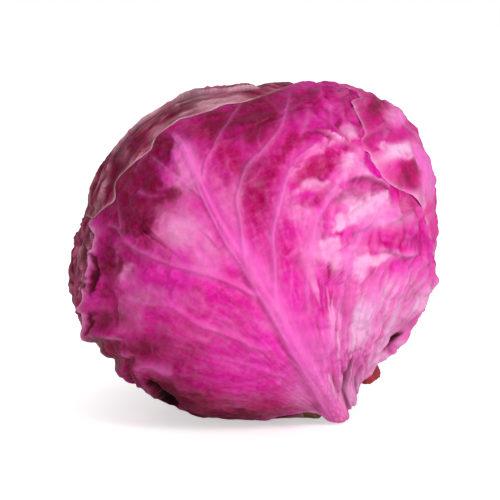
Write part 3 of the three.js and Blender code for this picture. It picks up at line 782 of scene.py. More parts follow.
    # the midrib: broad, flat topped, with a sharp left side toward the base; painted highlights along its crest and
    # beside it on the right, and painted shade in the trough at its left
    i, s, t, side = sk.along(mid, 16.0)
    w = np.interp(t, [0, 0.08, 0.3, 0.55, 0.8, 1], [4.4, 4.0, 3.1, 2.2, 1.5, 1.0])
    hh = np.interp(t, [0, 0.08, 0.3, 0.55, 0.8, 1], [2.2, 2.8, 2.2, 1.5, 1.0, 0.4])
    x = s / w
    e = smooth(t, 0, 0.02) * (1 - smooth(t, 0.93, 1))
    sk.h[i] += e * hh * (np.exp(-np.abs(x) ** 2.6) - 0.16 * np.exp(-(x / 2.4) ** 2))
    sk.h[i] -= e * 0.22 * hh * np.where(side > 0, np.exp(-((x - 1.25) / 0.35) ** 2), 0) * (1 - smooth(t, 0.55, 0.8))
    sk.dark[i] += e * 0.28 * np.where(side > 0, np.exp(-((x - 1.3) / 0.3) ** 2), 0) * (1 - smooth(t, 0.5, 0.75))
    q = side * x
    shade = np.interp(t, [0, 0.1, 0.3, 0.6, 1], [0.1, 0.26, 0.32, 0.24, 0.2]) * (0.8 + 0.8 * noise(sk.d[i] * 77.0 / 7.0, 82))
    crest = 0.95 * np.exp(-((q - 0.55) / 0.18) ** 2) + 0.35 * np.exp(-((q + 0.7) / 0.35) ** 2)
    sk.vein[i] = np.maximum(sk.vein[i] * (1 - np.exp(-(x / 1.1) ** 4) * 0.6 * e), e * (shade * np.exp(-np.abs(x / 1.05) ** 3) + crest * smooth(t, 0.03, 0.12)))
    sk.vein[i] += e * 0.35 * np.where(side < 0, np.exp(-((x - 2.0) / 1.2) ** 2), 0) * smooth(t, 0.15, 0.35) * (1 - smooth(t, 0.85, 1.0))
    sk.red[i] += e * 0.5 * np.exp(-((q + 0.05) / 0.4) ** 2) * smooth(t, 0.4, 0.55) * clip01(0.4 + 2 * noise(sk.d[i] * 77.0 / 6.0, 83))
    sk.pale[i] += e * np.interp(t, [0, 0.15, 0.5, 1], [0.1, 0.18, 0.16, 0.0]) * np.exp(-(x / 1.9) ** 2)
    sk.near[i] = np.minimum(sk.near[i], s)
    rough = smooth(sk.px, 285, 330) * smooth(395 - sk.py, 0, 40) * sk.seen
    lower = smooth(sk.py, 240, 300) * (1 - smooth(sk.px, 190, 230)) * sk.seen
    between = 1 - np.exp(-(sk.near / 4.5) ** 2)
    sk.h += between * (0.4 + 0.8 * fbm(sk.d, 15.0, 11, 2) + 0.35 * fbm(sk.d, 5.5, 12, 2))
    sk.h += 0.8 * fbm(sk.d, 36.0, 13, 2)
    # crumpled toward the right, with painted shade in the valleys between the blisters and painted highlight on their
    # tops
    ridged = 0.35 - np.abs(fbm(sk.d, 15.0, 14, 3))
    sk.h += rough * (1.5 * ridged + 0.5 * fbm(sk.d, 7.0, 15, 2))
    b1, b2 = blisters(sk.d, (9, 17, 12), 301), blisters(sk.d, (6, 9, 7), 305)
    sk.h += rough * (1.75 * b1 + 0.8 * b2) + (1 - rough) * (0.5 * blisters(sk.d, (14, 11, 12), 309) + 0.25 * b2)
    sk.dark += rough * 0.35 * np.exp(-(b1 / 0.14) ** 2)
    sk.pale += rough * 0.18 * (b1 - 0.4)
    sk.h += lower * 0.9 * blisters(sk.d, (12, 9, 10), 313)
    sk.h += lower * (1.1 * (0.3 - np.abs(fbm(sk.d, 13.0, 16, 2))) + 0.4 * fbm(sk.d, 5.0, 17, 2))
    sk.h += 0.10 * fbm(sk.d, 2.2, 18, 2)
    # folds on the right: crest, then a steep drop below, with painted highlight on the crests and painted shade under
    # the drops
    F = sk.fold
    F(L((368, 163), (359, 159), (350, 148), (342, 144.5), (330, 139), (324, 135.5), (312, 135), (300, 135)), 2.2, 0.6, 7, (0.35, 0.3), pale=0.2, dark=0.15)
    F(L((354, 144), (358, 142), (360, 129), (367, 119)), 1.3, 0.9, 5, (0.2, 0.25), dark=0.3)
    F(L((330, 104), (322, 101), (318, 94), (321, 86)), 1.0, 0.9, 4, (0.2, 0.3), pale=0.2, dark=0.2)
    F(L((393, 190), (380, 183), (365, 177), (352, 178), (342, 185)), 2.2, 0.9, 6, (0.15, 0.2), pale=0.35, dark=0.5)
    F(L((393, 193), (378, 190), (360, 198), (340, 197), (322, 199)), 1.6, 5, 1.0, (0.1, 0.2), dark=0.25)
    F(L((372, 198), (358, 204), (350, 210), (340, 220)), 1.0, 0.8, 4, (0.2, 0.2), dark=0.2)
    F(L((372, 222), (358, 229), (345, 233)), 1.1, 0.8, 4, (0.2, 0.2), dark=0.35)
    F(L((417, 252), (400, 255), (385, 250), (368, 249)), 1.6, 1.3, 6, (0.3, 0.3), pale=0.3, dark=0.3)
    F(L((417, 203), (406, 212), (390, 220), (378, 224)), 1.3, 4, 0.9, (0.15, 0.2), dark=0.25)
    F(L((430, 262), (415, 262), (404, 268)), 1.5, 1.4, 5, (0.05, 0.5), dark=0.1)
    F(L((427, 290), (415, 292), (404, 300)), 1.3, 1.4, 4, (0.05, 0.5), dark=0.08)
    F(L((421, 306), (408, 310), (396, 320)), 1.0, 1.4, 4, (0.05, 0.5), dark=0.08)
    # ribs that run together at the base: grooves darkened with painted shade, raised ribs with painted highlight
    G = sk.groove
    G(L((353, 350), (344, 372), (341, 388), (340, 402)), (1.8, 2.0), (1.2, 1.0), (0.12, 0.2), 0.5)
    G(L((364, 355), (354, 374), (349, 390), (347, 404)), (1.7, 1.7), (1.1, 0.9), (0.12, 0.2), 0.5)
    G(L((330, 363), (341, 357), (353, 350), (366, 343)), (0.9, 0.9), (1.0, 1.0), (0.2, 0.3), 0.2)
    G(L((372, 300), (358, 322), (345, 345)), (0.8, 0.8), (0.9, 0.9), (0.2, 0.2), 0.15)
    G(L((352, 250), (347, 275), (342, 300), (336, 325)), (0.9, 0.8), (0.8, 0.8), (0.15, 0.2), 0.2)
    G(L((284, 295), (276, 265), (276, 247), (276, 232)), (0.5, 0.4), (0.6, 0.6), (0.15, 0.2), 0.15)
    G(L((330, 372), (335, 385), (341, 398)), (0.9, 0.8), (1.1, 1.0), (0.2, 0.2), 0.25)
    for p in (((340, 372), (336, 384), (338, 398)), ((350, 362), (344, 380), (344, 400)), ((362, 362), (352, 380), (348, 398))):
        sk.vein_line(L(*p), (1.0, 0.8), (1.7, 1.1), (0.3, 0.3), trough=0.4, pale=0.5)
    # knobs, hollows and pleats at the lower left; the pleat grooves are darkened with painted shade
    for b in ((90, 305, 7, 4, 0, 2.0), (112, 332, 11, 4.5, 8, 2.8), (98, 331, 8, 4, 0, 2.2), (127, 351, 7, 5, 10, 2.6), (113, 337, 5, 5, 0, 1.2),
              (99, 344, 11, 6, 25, -3.2), (113, 362, 11, 7, 35, -2.8), (101, 318, 10, 7, 0, -2.2), (97, 290, 6, 7, 0, 0.8), (121, 343, 6, 5, 0, -1.4),
              (148, 372, 12, 5, 0, 1.6), (176, 369, 22, 5, 10, 1.6), (138, 364, 8, 4, 0, 1.6), (122, 372, 6, 10, 25, 1.2), (136, 300, 14, 12, 0, 1.0),
              (185, 330, 16, 10, 0, 0.8), (230, 300, 18, 10, 20, 0.8), (150, 275, 18, 7, 12, 0.9), (250, 345, 14, 8, 25, 0.7)):
        sk.bump(*b)
    G(L((121, 345), (129, 358), (130, 372), (139, 388), (146, 396)), (2.0, 1.6), (1.2, 1.2), (0.15, 0.1), 0.35)
    G(L((135, 352), (134, 364), (138, 379), (146, 392)), (1.8, 1.6), (1.1, 1.1), (0.15, 0.1), 0.3)
    G(L((111, 284), (116, 300), (116, 315), (120, 328)), (0.9, 0.9), (1.0, 1.0), (0.2, 0.2), 0.3)
    sk.vein_line(L((176, 369), (159, 365), (149, 363), (138, 364)), (1.5, 0.9), (1.5, 0.9), (0.6, 0.6), pale=0.2)
    # the deep groove above the ground, darkened with painted shade
    i, s, t, side = sk.along(L((147, 370), (152, 380), (157, 389), (163, 398), (169, 406), (174, 413)), 24.0)
    wid = np.interp(t, [0, 0.4, 1], [1.0, 2.4, 3.6])
    dep = np.interp(t, [0, 0.15, 0.5, 1], [0, 4.5, 9.0, 10.0])
    prof = np.where(side > 0, np.exp(-(s / (wid * 2.4)) ** 2), np.exp(-(s / wid) ** 2))
    sk.h[i] -= dep * prof
    sk.dark[i] += smooth(t, 0, 0.15) * (1.25 * np.exp(-(s / (wid * 1.0)) ** 2) + np.where(side > 0, 0.7 * np.exp(-(s / (wid * 3.2)) ** 2), 0))
    sk.crev[i] += smooth(t, 0, 0.12) * (1.1 * np.exp(-(s / (wid * 0.9)) ** 2) + np.where(side > 0, 0.45 * np.exp(-(s / (wid * 2.2)) ** 2), 0))
    # free margins
    left = np.exp(-((sk.px - 93) / 14) ** 2) * smooth(sk.py, 205, 225) * (1 - smooth(sk.py, 345, 365)) * sk.seen
    right = smooth(sk.px, 350, 375) * smooth(sk.py, 250, 275) * sk.seen
    wob = noise(sk.d * 77 / 8.0, 21) * 1.5
    sk.h += left * (1.6 + 1.2 * wob) * np.exp(-g / 4.0)
    sk.h += right * (1.8 + 1.4 * wob) * np.exp(-g / 3.5)
    hidden = 1 - clip01(sk.seen * 1.2)
    sk.h += hidden * (0.8 + 0.4 * wob) * np.exp(-g / 4.0)
    # colour areas: dark, pale, red and bloom patches, partly the leaf's own colour and partly painted shade, painted
    # highlight and painted sheen
    B = sk.blob
    for x, y, rx, ry, turn, v in (
            (133, 200, 34, 44, 20, 0.95), (160, 145, 14, 20, -30, 0.8), (250, 118, 46, 26, 10, 0.6), (205, 122, 26, 12, 20, 0.55), (125, 262, 20, 14, 20, 0.45),
            (255, 190, 16, 30, 10, 0.45), (222, 190, 10, 22, 0, 0.25), (300, 110, 14, 12, 0, 0.45), (350, 95, 14, 10, 0, 0.4), (330, 88, 8, 8, 0, 0.45),
            (262, 160, 12, 10, 0, 0.35), (318, 172, 17, 11, 30, 0.4), (150, 345, 22, 14, 10, 0.35), (100, 348, 12, 9, 30, 0.8), (112, 366, 12, 9, 40, 0.85),
            (110, 262, 10, 24, 10, 0.5), (170, 388, 30, 14, -15, 0.55), (215, 400, 60, 10, 0, 0.5), (105, 320, 10, 8, 0, 0.55), (300, 405, 30, 7, 0, 0.4),
            (320, 240, 8, 12, 0, 0.3), (298, 262, 7, 8, 0, 0.3), (346, 195, 22, 5, 0, 0.3), (412, 232, 12, 14, 0, 0.25), (160, 290, 36, 10, 15, 0.15),
            (185, 190, 30, 8, 25, 0.2), (170, 150, 110, 80, 0, 0.25), (110, 290, 50, 100, 0, 0.3), (270, 105, 90, 40, 0, 0.2), (180, 380, 120, 40, 0, 0.25)):
        B("dark", x, y, rx, ry, turn, v)
    for x, y, rx, ry, turn, v in (
            (185, 230, 25, 20, 25, 0.55), (210, 262, 22, 14, 20, 0.35), (186, 175, 13, 28, -12, 0.5), (160, 210, 10, 8, 0, 0.2), (234, 196, 9, 30, 0, 0.25),
            (315, 248, 17, 22, 10, 0.45), (365, 208, 32, 17, -20, 0.7), (352, 262, 16, 22, 0, 0.5), (347, 132, 9, 9, 0, 0.6), (128, 275, 12, 9, 0, 0.35),
            (150, 295, 16, 10, 0, 0.3), (368, 326, 26, 28, 30, 0.35), (300, 212, 18, 12, -25, 0.45), (410, 290, 20, 22, 0, 0.2), (395, 325, 18, 20, 30, 0.2),
            (340, 390, 12, 22, 0, 0.1), (352, 160, 12, 8, 0, 0.35), (130, 315, 12, 22, 0, 0.25), (320, 340, 14, 30, 20, 0.1), (400, 215, 14, 12, 0, 0.3),
            (262, 265, 10, 26, 20, 0.15), (210, 330, 40, 14, 15, 0.12), (375, 290, 24, 26, 20, 0.2), (120, 222, 5, 8, 0, 0.2)):
        B("pale", x, y, rx, ry, turn, v)
    for x, y, rx, ry, turn, v in ((255, 190, 17, 26, 10, 0.5), (316, 168, 20, 12, 30, 0.6), (262, 140, 16, 12, 0, 0.4), (172, 122, 12, 8, 0, 0.5), (205, 128, 18, 10, 0, 0.4),
                                   (155, 240, 18, 8, 15, 0.5), (215, 400, 60, 14, 0, 0.55), (115, 300, 14, 24, 0, 0.4), (310, 185, 26, 8, -20, 0.4), (395, 235, 14, 10, 0, 0.3),
                                   (150, 200, 24, 34, 20, 0.4), (330, 300, 8, 20, 0, 0.2), (360, 240, 20, 8, 0, 0.25), (200, 345, 60, 14, 10, 0.2)):
        B("red", x, y, rx, ry, turn, v)
    B("red", 340, 402, 12, 16, 0, 0.35)
    for x, y, rx, ry, turn, v in ((372, 322, 30, 26, 35, 0.75), (350, 382, 8, 20, 10, 0.5), (395, 300, 20, 20, 0, 0.35), (302, 398, 16, 8, 0, 0.35), (295, 382, 14, 14, 0, 0.2),
                                   (420, 280, 14, 24, 0, 0.35), (410, 205, 8, 12, 0, 0.2), (185, 228, 18, 14, 0, 0.2)):
        B("bloom", x, y, rx, ry, turn, v)
    sk.dark *= 1 + 0.5 * fbm(sk.d, 14.0, 30, 2)
    sk.pale *= 1 + 0.6 * fbm(sk.d, 10.0, 31, 3)
    T = sk.patch
    # patches: darker, redder and paler areas, partly the leaf's own colour and partly painted shade and painted
    # highlight
    T(((149, 149), (152, 141), (161, 132.5), (170, 136), (172, 146.5), (171, 157), (166, 164), (157, 162)), dark=0.95)
    T(((131, 167), (156, 169.5), (165, 185), (182, 187), (181, 197.5), (170, 205), (149, 204), (129, 197.5), (124, 185)), dark=0.85)
    T(((120, 205), (139, 205), (161, 210), (157, 219), (149, 234.5), (136.5, 238), (124, 231), (119, 217)), dark=0.85)
    T(((111, 169.5), (121, 159), (142, 157), (149, 167), (131, 172), (131, 192), (113.5, 195)), dark=0.85, bloom=0.1)
    T(((173.5, 127), (187.5, 141.5), (198, 157), (204, 169.5), (208, 185), (195, 182), (182.5, 178), (170, 167), (172, 152), (172, 139)), pale=0.35, vein=0.12)
    T(((162, 210), (180, 213), (200, 222), (214, 232), (218, 255), (205, 262), (190, 258), (170, 243), (150, 237), (155, 225)), 3, pale=0.4)
    T(((207, 143), (214, 159), (226, 185), (238.5, 185), (241, 197.5), (236, 229), (224.5, 217), (216, 197.5), (208, 178)), pale=0.3, red=0.25)
    T(((213, 141), (230, 139), (241, 149), (242.5, 167), (238.5, 180), (223, 169.5), (214, 157)), red=0.75, dark=0.25)
    T(((244, 182), (260, 167), (262, 200), (260, 223), (245, 218), (241, 205)), 3, red=0.55, dark=0.1)
    T(((180, 121), (200, 118.5), (213, 126), (210.5, 141), (198, 143), (187.5, 136)), red=0.8, dark=0.25)
    T(((240, 95.5), (291, 84), (316.5, 84), (319, 95.5), (311, 103), (296, 103), (278, 123.5), (253, 149), (242.5, 149)), 3, dark=0.6, red=0.2)
    T(((291, 130), (319, 136), (299, 151.5), (278, 169.5), (270.5, 192.5), (258, 180), (265.5, 159), (278, 146.5)), 3, red=0.6, dark=0.4)
    # facets at the upper right: lit faces raised and painted pale, shaded faces sunk and painted dark; painted
    # highlight, shade and sheen lines along the folds
    T(((324, 137.5), (344.5, 145), (329, 148), (311.5, 159), (295, 171), (288.5, 181), (283.5, 181), (291, 167), (306, 151.5)), 1.5, pale=0.6, h=0.5)
    T(((334, 147.5), (342, 150), (337, 167), (329, 176), (311.5, 181), (293.5, 184), (290, 182), (304, 167), (321.5, 153)), 1.5, red=0.55, dark=0.15, h=-0.9)
    T(((288.5, 192.5), (311.5, 181), (332, 179.5), (321.5, 190), (301, 195), (286, 200)), 1.5, pale=0.7, bloom=0.15, h=0.6)
    T(((311.5, 196), (327, 192.5), (329, 185), (337, 185), (329, 199), (319, 205), (306, 210), (293.5, 203)), 1.5, dark=0.35, red=0.5, h=-0.6)
    T(((341, 152), (350, 154), (355, 159), (367.5, 167), (370, 174.5), (352, 176), (342, 185), (332, 196), (327, 200), (332, 185), (338, 172)), 1.5, pale=0.65, h=0.6)
    T(((345, 182), (360, 177), (393, 190), (375, 192), (352, 196), (338, 200)), 1.5, dark=0.3, bloom=0.12, h=-0.7)
    T(((334, 217), (355, 203), (387, 190), (395.5, 192.5), (390.5, 203), (367.5, 213), (352, 225.5), (339.5, 231), (329, 234.5)), 1.5, pale=1.0, bloom=0.1, h=0.6)
    T(((352, 231), (378, 214), (395.5, 203), (393, 220.5), (380, 228), (365, 233), (355, 234.5)), 2, vein=0.6, pale=0.3)
    T(((397, 190), (410, 192.5), (418.5, 203), (416, 214), (401, 218), (398, 204)), 1.5, red=0.5, dark=0.2, h=-0.7)
    T(((317, 240), (335, 236), (342, 246), (340, 262), (333, 275), (327, 262), (318, 252)), 1.5, pale=0.8, h=0.4)
    T(((367.5, 236), (400, 234), (416, 240), (410, 250), (385, 250), (372, 246)), 2, red=0.35, dark=0.2)
    T(((318, 84), (352, 92), (362, 112), (366, 130), (352, 128), (334, 112), (320, 100)), 4, dark=0.35, red=0.3)
    T(((330, 96), (342, 102), (334, 112), (326, 106)), 2, vein=0.5)
    T(((343, 122), (353, 130), (357, 140), (347, 146), (340, 134)), 1.5, pale=0.75, bloom=0.1)
    sk.stroke("pale", L((324, 135.5), (333, 139.5), (342, 144)), 0.5, 1.0)
    sk.stroke("crev", L((300, 136), (312, 136), (322, 138), (332, 143)), 0.5, 0.35)
    T(((350, 263), (366, 254), (392, 251), (397, 257), (380, 264), (364, 272), (354, 276)), 2, pale=0.95, bloom=0.2, h=0.3)
    sk.blob("bloom", 362, 212, 24, 9, -25, 0.4)
    sk.blob("bloom", 330, 254, 10, 12, 0, 0.3)
    sk.blob("bloom", 312, 186, 18, 5, -20, 0.25)
    sk.blob("bloom", 345, 166, 8, 8, 0, 0.25)
    # lower left: dark patches and painted sheen, with painted shade in the crevices, along the bottom and in the wedge
    T(((121, 263), (130, 260), (136, 266), (130, 274), (124, 288), (120, 276)), 2, pale=0.3, bloom=0.12)
    T(((115, 300), (128, 303), (136, 314), (135, 327), (124, 325), (117, 315)), 2.5, dark=0.5, bloom=0.16)
    T(((154, 323), (165, 321), (176, 327), (173, 336), (158, 335)), 2, dark=0.3, bloom=0.15)
    T(((187, 284), (205, 286), (210, 300), (200, 306), (186, 298)), 3, dark=0.15, bloom=0.16)
    T(((160, 287), (184, 290), (212, 304), (206, 314), (182, 310), (162, 300)), 3, bloom=0.2)
    T(((134, 384), (150, 388), (158, 402), (148, 404), (136, 396)), 2, bloom=0.25)
    T(((102, 286), (112, 286), (115, 300), (104, 301)), 2, dark=0.5)
    T(((92, 336), (104, 333), (109, 340), (105, 346), (98, 343)), 1.5, dark=1.0, red=0.3, crev=0.05)
    T(((103, 348), (118, 343), (122, 356), (122, 366), (113, 366)), 1.5, dark=1.0, red=0.3, crev=0.05)
    T(((124, 347), (133, 350), (135, 355), (128, 357)), 1.5, pale=0.7, h=0.6)
    T(((108, 332), (120, 332), (121, 341), (110, 341)), 1.5, bloom=0.5)
    T(((210, 335), (235, 338), (262, 350), (275, 372), (262, 378), (230, 374), (205, 360)), 4, keep=0.1, vein=0.1)
    T(((240, 401), (265, 399), (288.5, 399.6), (301, 404.7), (288.5, 411), (240, 413.6)), 2, red=0.7, dark=0.45)
    T(((188, 407), (215, 410), (262, 412), (262, 417), (188, 415)), 1.5, dark=1.0, crev=0.3)
    T(((96, 254), (99.5, 256), (102, 268), (100, 284), (95.5, 294), (94, 284), (96, 270)), 1.8, dark=1.0, crev=0.72, h=-1.2)
    T(((92, 312), (95.5, 311), (95.5, 323), (91.5, 330), (90, 322)), 1.6, dark=1.0, crev=0.6, h=-1.0)
    T(((150, 373), (158, 374), (175, 382), (190, 397), (198, 406), (178, 408), (160, 396)), 2, dark=1.0, crev=0.5)
    T(((148, 371), (153, 373), (161, 384), (170, 396), (177, 408), (166, 409), (156, 394)), 1.2, dark=1.0, crev=1.0)
    # the opening at the right margin, darkened with painted shade, and its pale lip, given waxy bloom and painted sheen
    way = unit([math.cos(math.radians(-34.0)), math.sin(math.radians(-34.0)), 0.27])
    tangent = unit(np.cross([0, 0, 1.0], way))
    q = sk.d - way
    u, w = 77 * (q @ tangent), 77 * (q @ np.cross(way, tangent))
    by = (sk.d @ way) > 0.9
    u = u + 2.4 * noise(sk.d * 77.0 / 4.0, 95)
    w = w + 2.4 * noise(sk.d * 77.0 / 4.0, 96)
    hollow = by * np.exp(-(np.abs(u / 4.6) ** 2 + np.abs(w / 5.2) ** 2) ** 1.6)
    sk.h -= 2.6 * hollow
    sk.dark += 1.0 * hollow
    sk.crev += 1.3 * hollow
    lip = by * np.exp(-(u / 7.0) ** 2 - ((w + 11.0) / 3.2) ** 2)
    sk.h += 2.2 * lip
    sk.bloom += 0.9 * lip
    sk.bloom += 0.8 * by * np.exp(-((np.hypot(u / 4.6, w / 5.2) - 1.35) / 0.2) ** 2) * (w > -3)
    # toward the base on the right: streaks running to the base, painted sheen patches and painted highlights on the
    # ribs
    fan = sk.fan_streaks(35)
    T(((337, 332), (361, 319), (378, 301), (383, 306.5), (375, 327), (362.5, 345), (350, 352.5), (334, 357.5)), 2.5, bloom=0.75, pale=0.3)
    T(((387, 319), (409.6, 296), (411, 301), (390.5, 332), (378, 355), (367.6, 365), (365, 362.7)), 2.0, bloom=0.7, pale=0.2)
    T(((323, 362.7), (337, 365), (339.5, 380.5), (337, 396), (329, 387)), 1.5, red=0.4)
    T(((342, 357.5), (367.5, 351), (362.5, 365), (352, 377), (342, 373)), 1.5, dark=0.45, red=0.2)
    T(((293.6, 380.5), (316.5, 393), (311, 402), (291, 398)), 2.5, bloom=0.45)
    for line in (((341, 377), (343, 386), (346, 393)), ((352, 370), (352, 380), (354, 390)), ((326, 370), (330, 382), (334, 392))):
        sk.stroke("bloom", L(*line), 0.7, 1.0)
    wide = smooth(sk.px, 290, 330) * smooth(sk.py, 235, 280) * sk.seen
    sk.bloom *= 1 + wide * (2.3 * smooth(fan, -0.3, 0.5) - 1.0)
    sk.pale += wide * 0.62 * smooth(fan, 0.1, 0.7)
    sk.vein += wide * 0.3 * smooth(-fan, 0.0, 0.35) * (1 - smooth(-fan, 0.35, 0.7))
    sk.dark += wide * 0.5 * smooth(-fan, 0.2, 0.8)
    sk.red += wide * 0.3 * smooth(-fan, 0.1, 0.6)
    sk.h += wide * 0.6 * fan
    low = smooth(sk.py, 290, 330) * (1 - wide) * sk.seen
    bx, by = sk.px - 338.0, 416.0 - sk.py
    br, ba = np.hypot(bx, by), np.arctan2(by, bx)
    ba = ba + 0.05 * noise(sk.d * 77.0 / 14.0, 84)
    run = 0.9 * noise(np.stack([ba * 24, br / 26, 0 * ba], 1), 85) + 0.8 * noise(np.stack([ba * 55, br / 15, 0 * ba + 4], 1), 86) + 0.5 * noise(np.stack([br / 4.5, ba * 12, 0 * ba + 8], 1), 87)
    mott = 0.8 * noise(sk.d * 77.0 / 3.0, 88) + 0.7 * noise(sk.d * 77.0 / 1.6, 89)
    even = sk.seen * (1 - clip01(sk.crev))
    up = np.maximum(np.exp(-((sk.px - 262) / 62) ** 2 - ((sk.py - 128) / 50) ** 2), np.exp(-((sk.px - 318) / 36) ** 2 - ((sk.py - 106) / 34) ** 2)) * sk.seen
    low_left = smooth(sk.py, 275, 350) * (1 - smooth(sk.px, 190, 290)) * sk.seen
    left_part = 1 - smooth(sk.px, 200, 300)
    centre = np.exp(-((sk.px - 264) / 42) ** 2 - ((sk.py - 222) / 62) ** 2) * sk.seen
    sk.pale *= (1 - 0.8 * up) * (1 - 0.5 * low_left) * (1 - 0.25 * left_part) * (1 - 0.45 * centre)
    sk.bloom *= 1 - 0.7 * up
    sk.vein *= (1 - 0.35 * up) * (1 - 0.35 * low_left)
    sk.red += 0.3 * up + 0.3 * low_left + 0.2 * centre
    sk.dark += 0.03 * up + 0.25 * centre + 0.16 * np.exp(-((sk.px - 172) / 26) ** 2 - ((sk.py - 260) / 30) ** 2) * sk.seen + 0.2 * np.exp(-((sk.px - 178) / 20) ** 2 - ((sk.py - 362) / 16) ** 2) * sk.seen + 0.17 * low_left + 0.12 * np.exp(-((sk.px - 95) / 26) ** 2) * sk.seen
    sk.pale += even * (0.34 * clip01(run) * (1 - 0.6 * left_part) + 0.14 * clip01(mott)) * (1 - 0.6 * up)
    sk.red += even * (0.55 * clip01(-run) + 0.35 * clip01(-mott))
    sk.dark += even * (0.42 * clip01(-run - 0.1) + 0.16 * clip01(-mott - 0.15))
    sk.h += even * 0.14 * run
    # painted sheen near the base
    near_base = np.exp(-((sk.px - 362) / 42) ** 2 - ((sk.py - 345) / 34) ** 2) * sk.seen
    sk.bloom += 0.62 * near_base * clip01(0.45 + 1.3 * fan)
    # lighter beneath the middle: less dark and red there, as painted light thrown up from the floor
    beneath = np.exp(-((sk.px - 246) / 34) ** 2 - ((sk.py - 376) / 22) ** 2) * sk.seen
    sk.dark *= 1 - 0.85 * beneath
    sk.red *= 1 - 0.6 * beneath
    sk.blob("red", 326, 390, 13, 13, 0, 0.35)
    sk.blob("dark", 328, 394, 12, 12, 0, 0.12)
    sk.blob("bloom", 356, 383, 9, 15, 10, 0.4)
    # painted shade along the bottom edge, next to the floor
    sk.dark += 0.5 * smooth(sk.py, 404, 413) * (1 - smooth(sk.px, 285, 300)) * sk.seen
    sk.pale += low * 0.14 * clip01(fan)
    sk.dark += low * 0.2 * clip01(-fan - 0.1)
    sk.pale += clip01(0.12 + 0.4 * fbm(sk.d, 24.0, 32, 2)) * (1 - sk.seen) * 0.6
    sk.dark += clip01(0.25 + 0.7 * fbm(sk.d, 30.0, 33, 2)) * (1 - sk.seen) * 0.5
    # paler along the margin, partly the thin edge's own colour and partly painted highlight
    sk.pale += 0.5 * np.exp(-g / 1.6)


# ------------------------------------------------------------------ the other leaves
def top_left_detail(sk, g, leaf):
    L = lambda *p: seen_line(np.array(p, float))
    add_veins(sk, leaf_veins(leaf, 21, 8, bend=3.0, size=0.95, lift=0.8))
    lamina(sk, 121, 0.55, 0.8)
    # second, hidden fold along the limb and small ones beside it, with painted highlight on the crests and painted
    # shade below
    F = sk.fold
    F(L((262, 84), (250, 87), (235, 89), (219, 91), (200, 93), (180, 98), (163, 107), (150, 115), (137, 125), (127, 134), (118, 146), (113, 158), (111, 168), (107, 180), (103, 191), (96, 206), (89, 217)), 2.1, 0.55, 14, (0.06, 0.06), pale=0.75, dark=0.45)
    F(L((108, 158), (97, 178), (86, 205)), 1.3, 0.6, 7, (0.2, 0.2), pale=0.45, dark=0.3)
    F(L((262, 84), (240, 87), (215, 90), (188, 95), (170, 102)), 1.3, 0.6, 7, (0.15, 0.2), pale=0.5, dark=0.3)
    F(L((170, 110), (152, 122), (133, 140), (124, 152), (112, 170)), 1.0, 0.7, 5, (0.2, 0.2), pale=0.25, dark=0.2)
    F(L((250, 94), (225, 98), (195, 104), (165, 114)), 1.0, 0.7, 4, (0.2, 0.2), pale=0.3, dark=0.25)
    F(L((176, 112), (177, 107), (175, 102)), 0.8, 0.7, 2, (0.2, 0.2), pale=0.3)
    sk.h += sk.seen * 0.35 * blisters(sk.d, (14, 9, 11), 321)
    # painted sheen and highlight along the limb
    sk.blob("bloom", 195, 97, 42, 9, -13, 0.45)
    sk.blob("pale", 200, 98, 40, 8, -13, 0.25)
    sk.blob("bloom", 118, 148, 9, 20, 35, 0.4)
    sk.h += 0.3 * sk.seen * (0.3 - np.abs(fbm(sk.d, 9.0, 22, 2)))
    edge_lift(sk, g, 0.35, 1.6, 23, wave=0.8, cell=9.0)
    near = np.exp(-g / 3.0)
    st = sk.limb_streaks(28)
    sk.h += sk.seen * 0.45 * st
    sk.h -= 2.2 * np.exp(-(sk.d[:, 2] / 0.5) ** 2) * smooth(sk.d[:, 1] - 0.3 * sk.d[:, 0], 0.2, 0.6)
    # along the folds and the margin at the limb: painted highlight, painted shade just beside it, and painted sheen
    sk.stroke("pale", L((262, 84), (250, 87), (235, 89), (219, 91), (200, 93), (180, 98), (163, 107), (150, 115), (137, 125), (127, 134), (118, 146), (113, 158)), 1.3, 0.9, (0.05, 0.1))
    sk.stroke("crev", L((240, 85), (215, 88), (190, 93), (165, 103), (145, 115), (128, 130), (117, 143)), 1.0, 0.5, (0.1, 0.1))
    sk.stroke("bloom", L((262, 84), (250, 87), (235, 89), (219, 91), (200, 93), (180, 98), (163, 107), (150, 115), (137, 125), (127, 134), (118, 146), (113, 158)), 1.0, 0.55, (0.05, 0.1))
    sk.stroke("bloom", L((146, 150), (151, 137), (160, 126), (174, 116), (190, 109), (211, 103), (225, 99), (243, 95), (256, 91)), 2.0, 0.5, (0.15, 0.15))
    sk.stroke("bloom", L((108, 178), (101, 192), (94, 206), (89, 216)), 0.9, 0.5, (0.2, 0.2))
    # darker and redder at the upper left, partly the leaf's own colour and partly painted shade
    sk.blob("dark", 118, 160, 12, 30, -30, 0.5)
    sk.blob("red", 118, 160, 14, 32, -30, 0.5)
    sk.blob("pale", 118, 160, 12, 30, -30, -0.5)
    sk.blob("dark", 178, 108, 26, 6, 20, 0.35)
    # streaks along the outline: painted sheen and highlight on their crests, darker and redder between them as painted
    # shade
    line = smooth(st, 0.12, 0.75)
    sk.bloom += sk.seen * (0.42 * line * clip01(0.7 + 1.2 * noise(sk.d * 77.0 / 9.0, 29)) + 0.05 * smooth(st, -0.2, 0.4))
    sk.pale += sk.seen * line * 0.25
    sk.dark += sk.seen * (0.8 * smooth(-st, 0.05, 0.6) - 0.6 * line)
    sk.red += sk.seen * smooth(-st, 0.0, 0.4) * 0.5
    sk.bloom += sk.seen * 0.1 * fbm(sk.d, 12.0, 24, 3) + 0.02
    sk.dark += 0.42 + 0.4 * fbm(sk.d, 20.0, 25, 2) - 0.2 * near
    # paler in patches and along the margin; the margin band is partly the thin edge's own colour and partly painted
    # highlight
    sk.pale += 0.12 * clip01(fbm(sk.d, 18.0, 26, 2) + 0.2) + 0.6 * np.exp(-g / 0.8) * clip01(0.7 + 1.2 * noise(sk.d * 77.0 / 8.0, 30))
    sk.red += 0.3 + 0.3 * fbm(sk.d, 22.0, 27, 2)


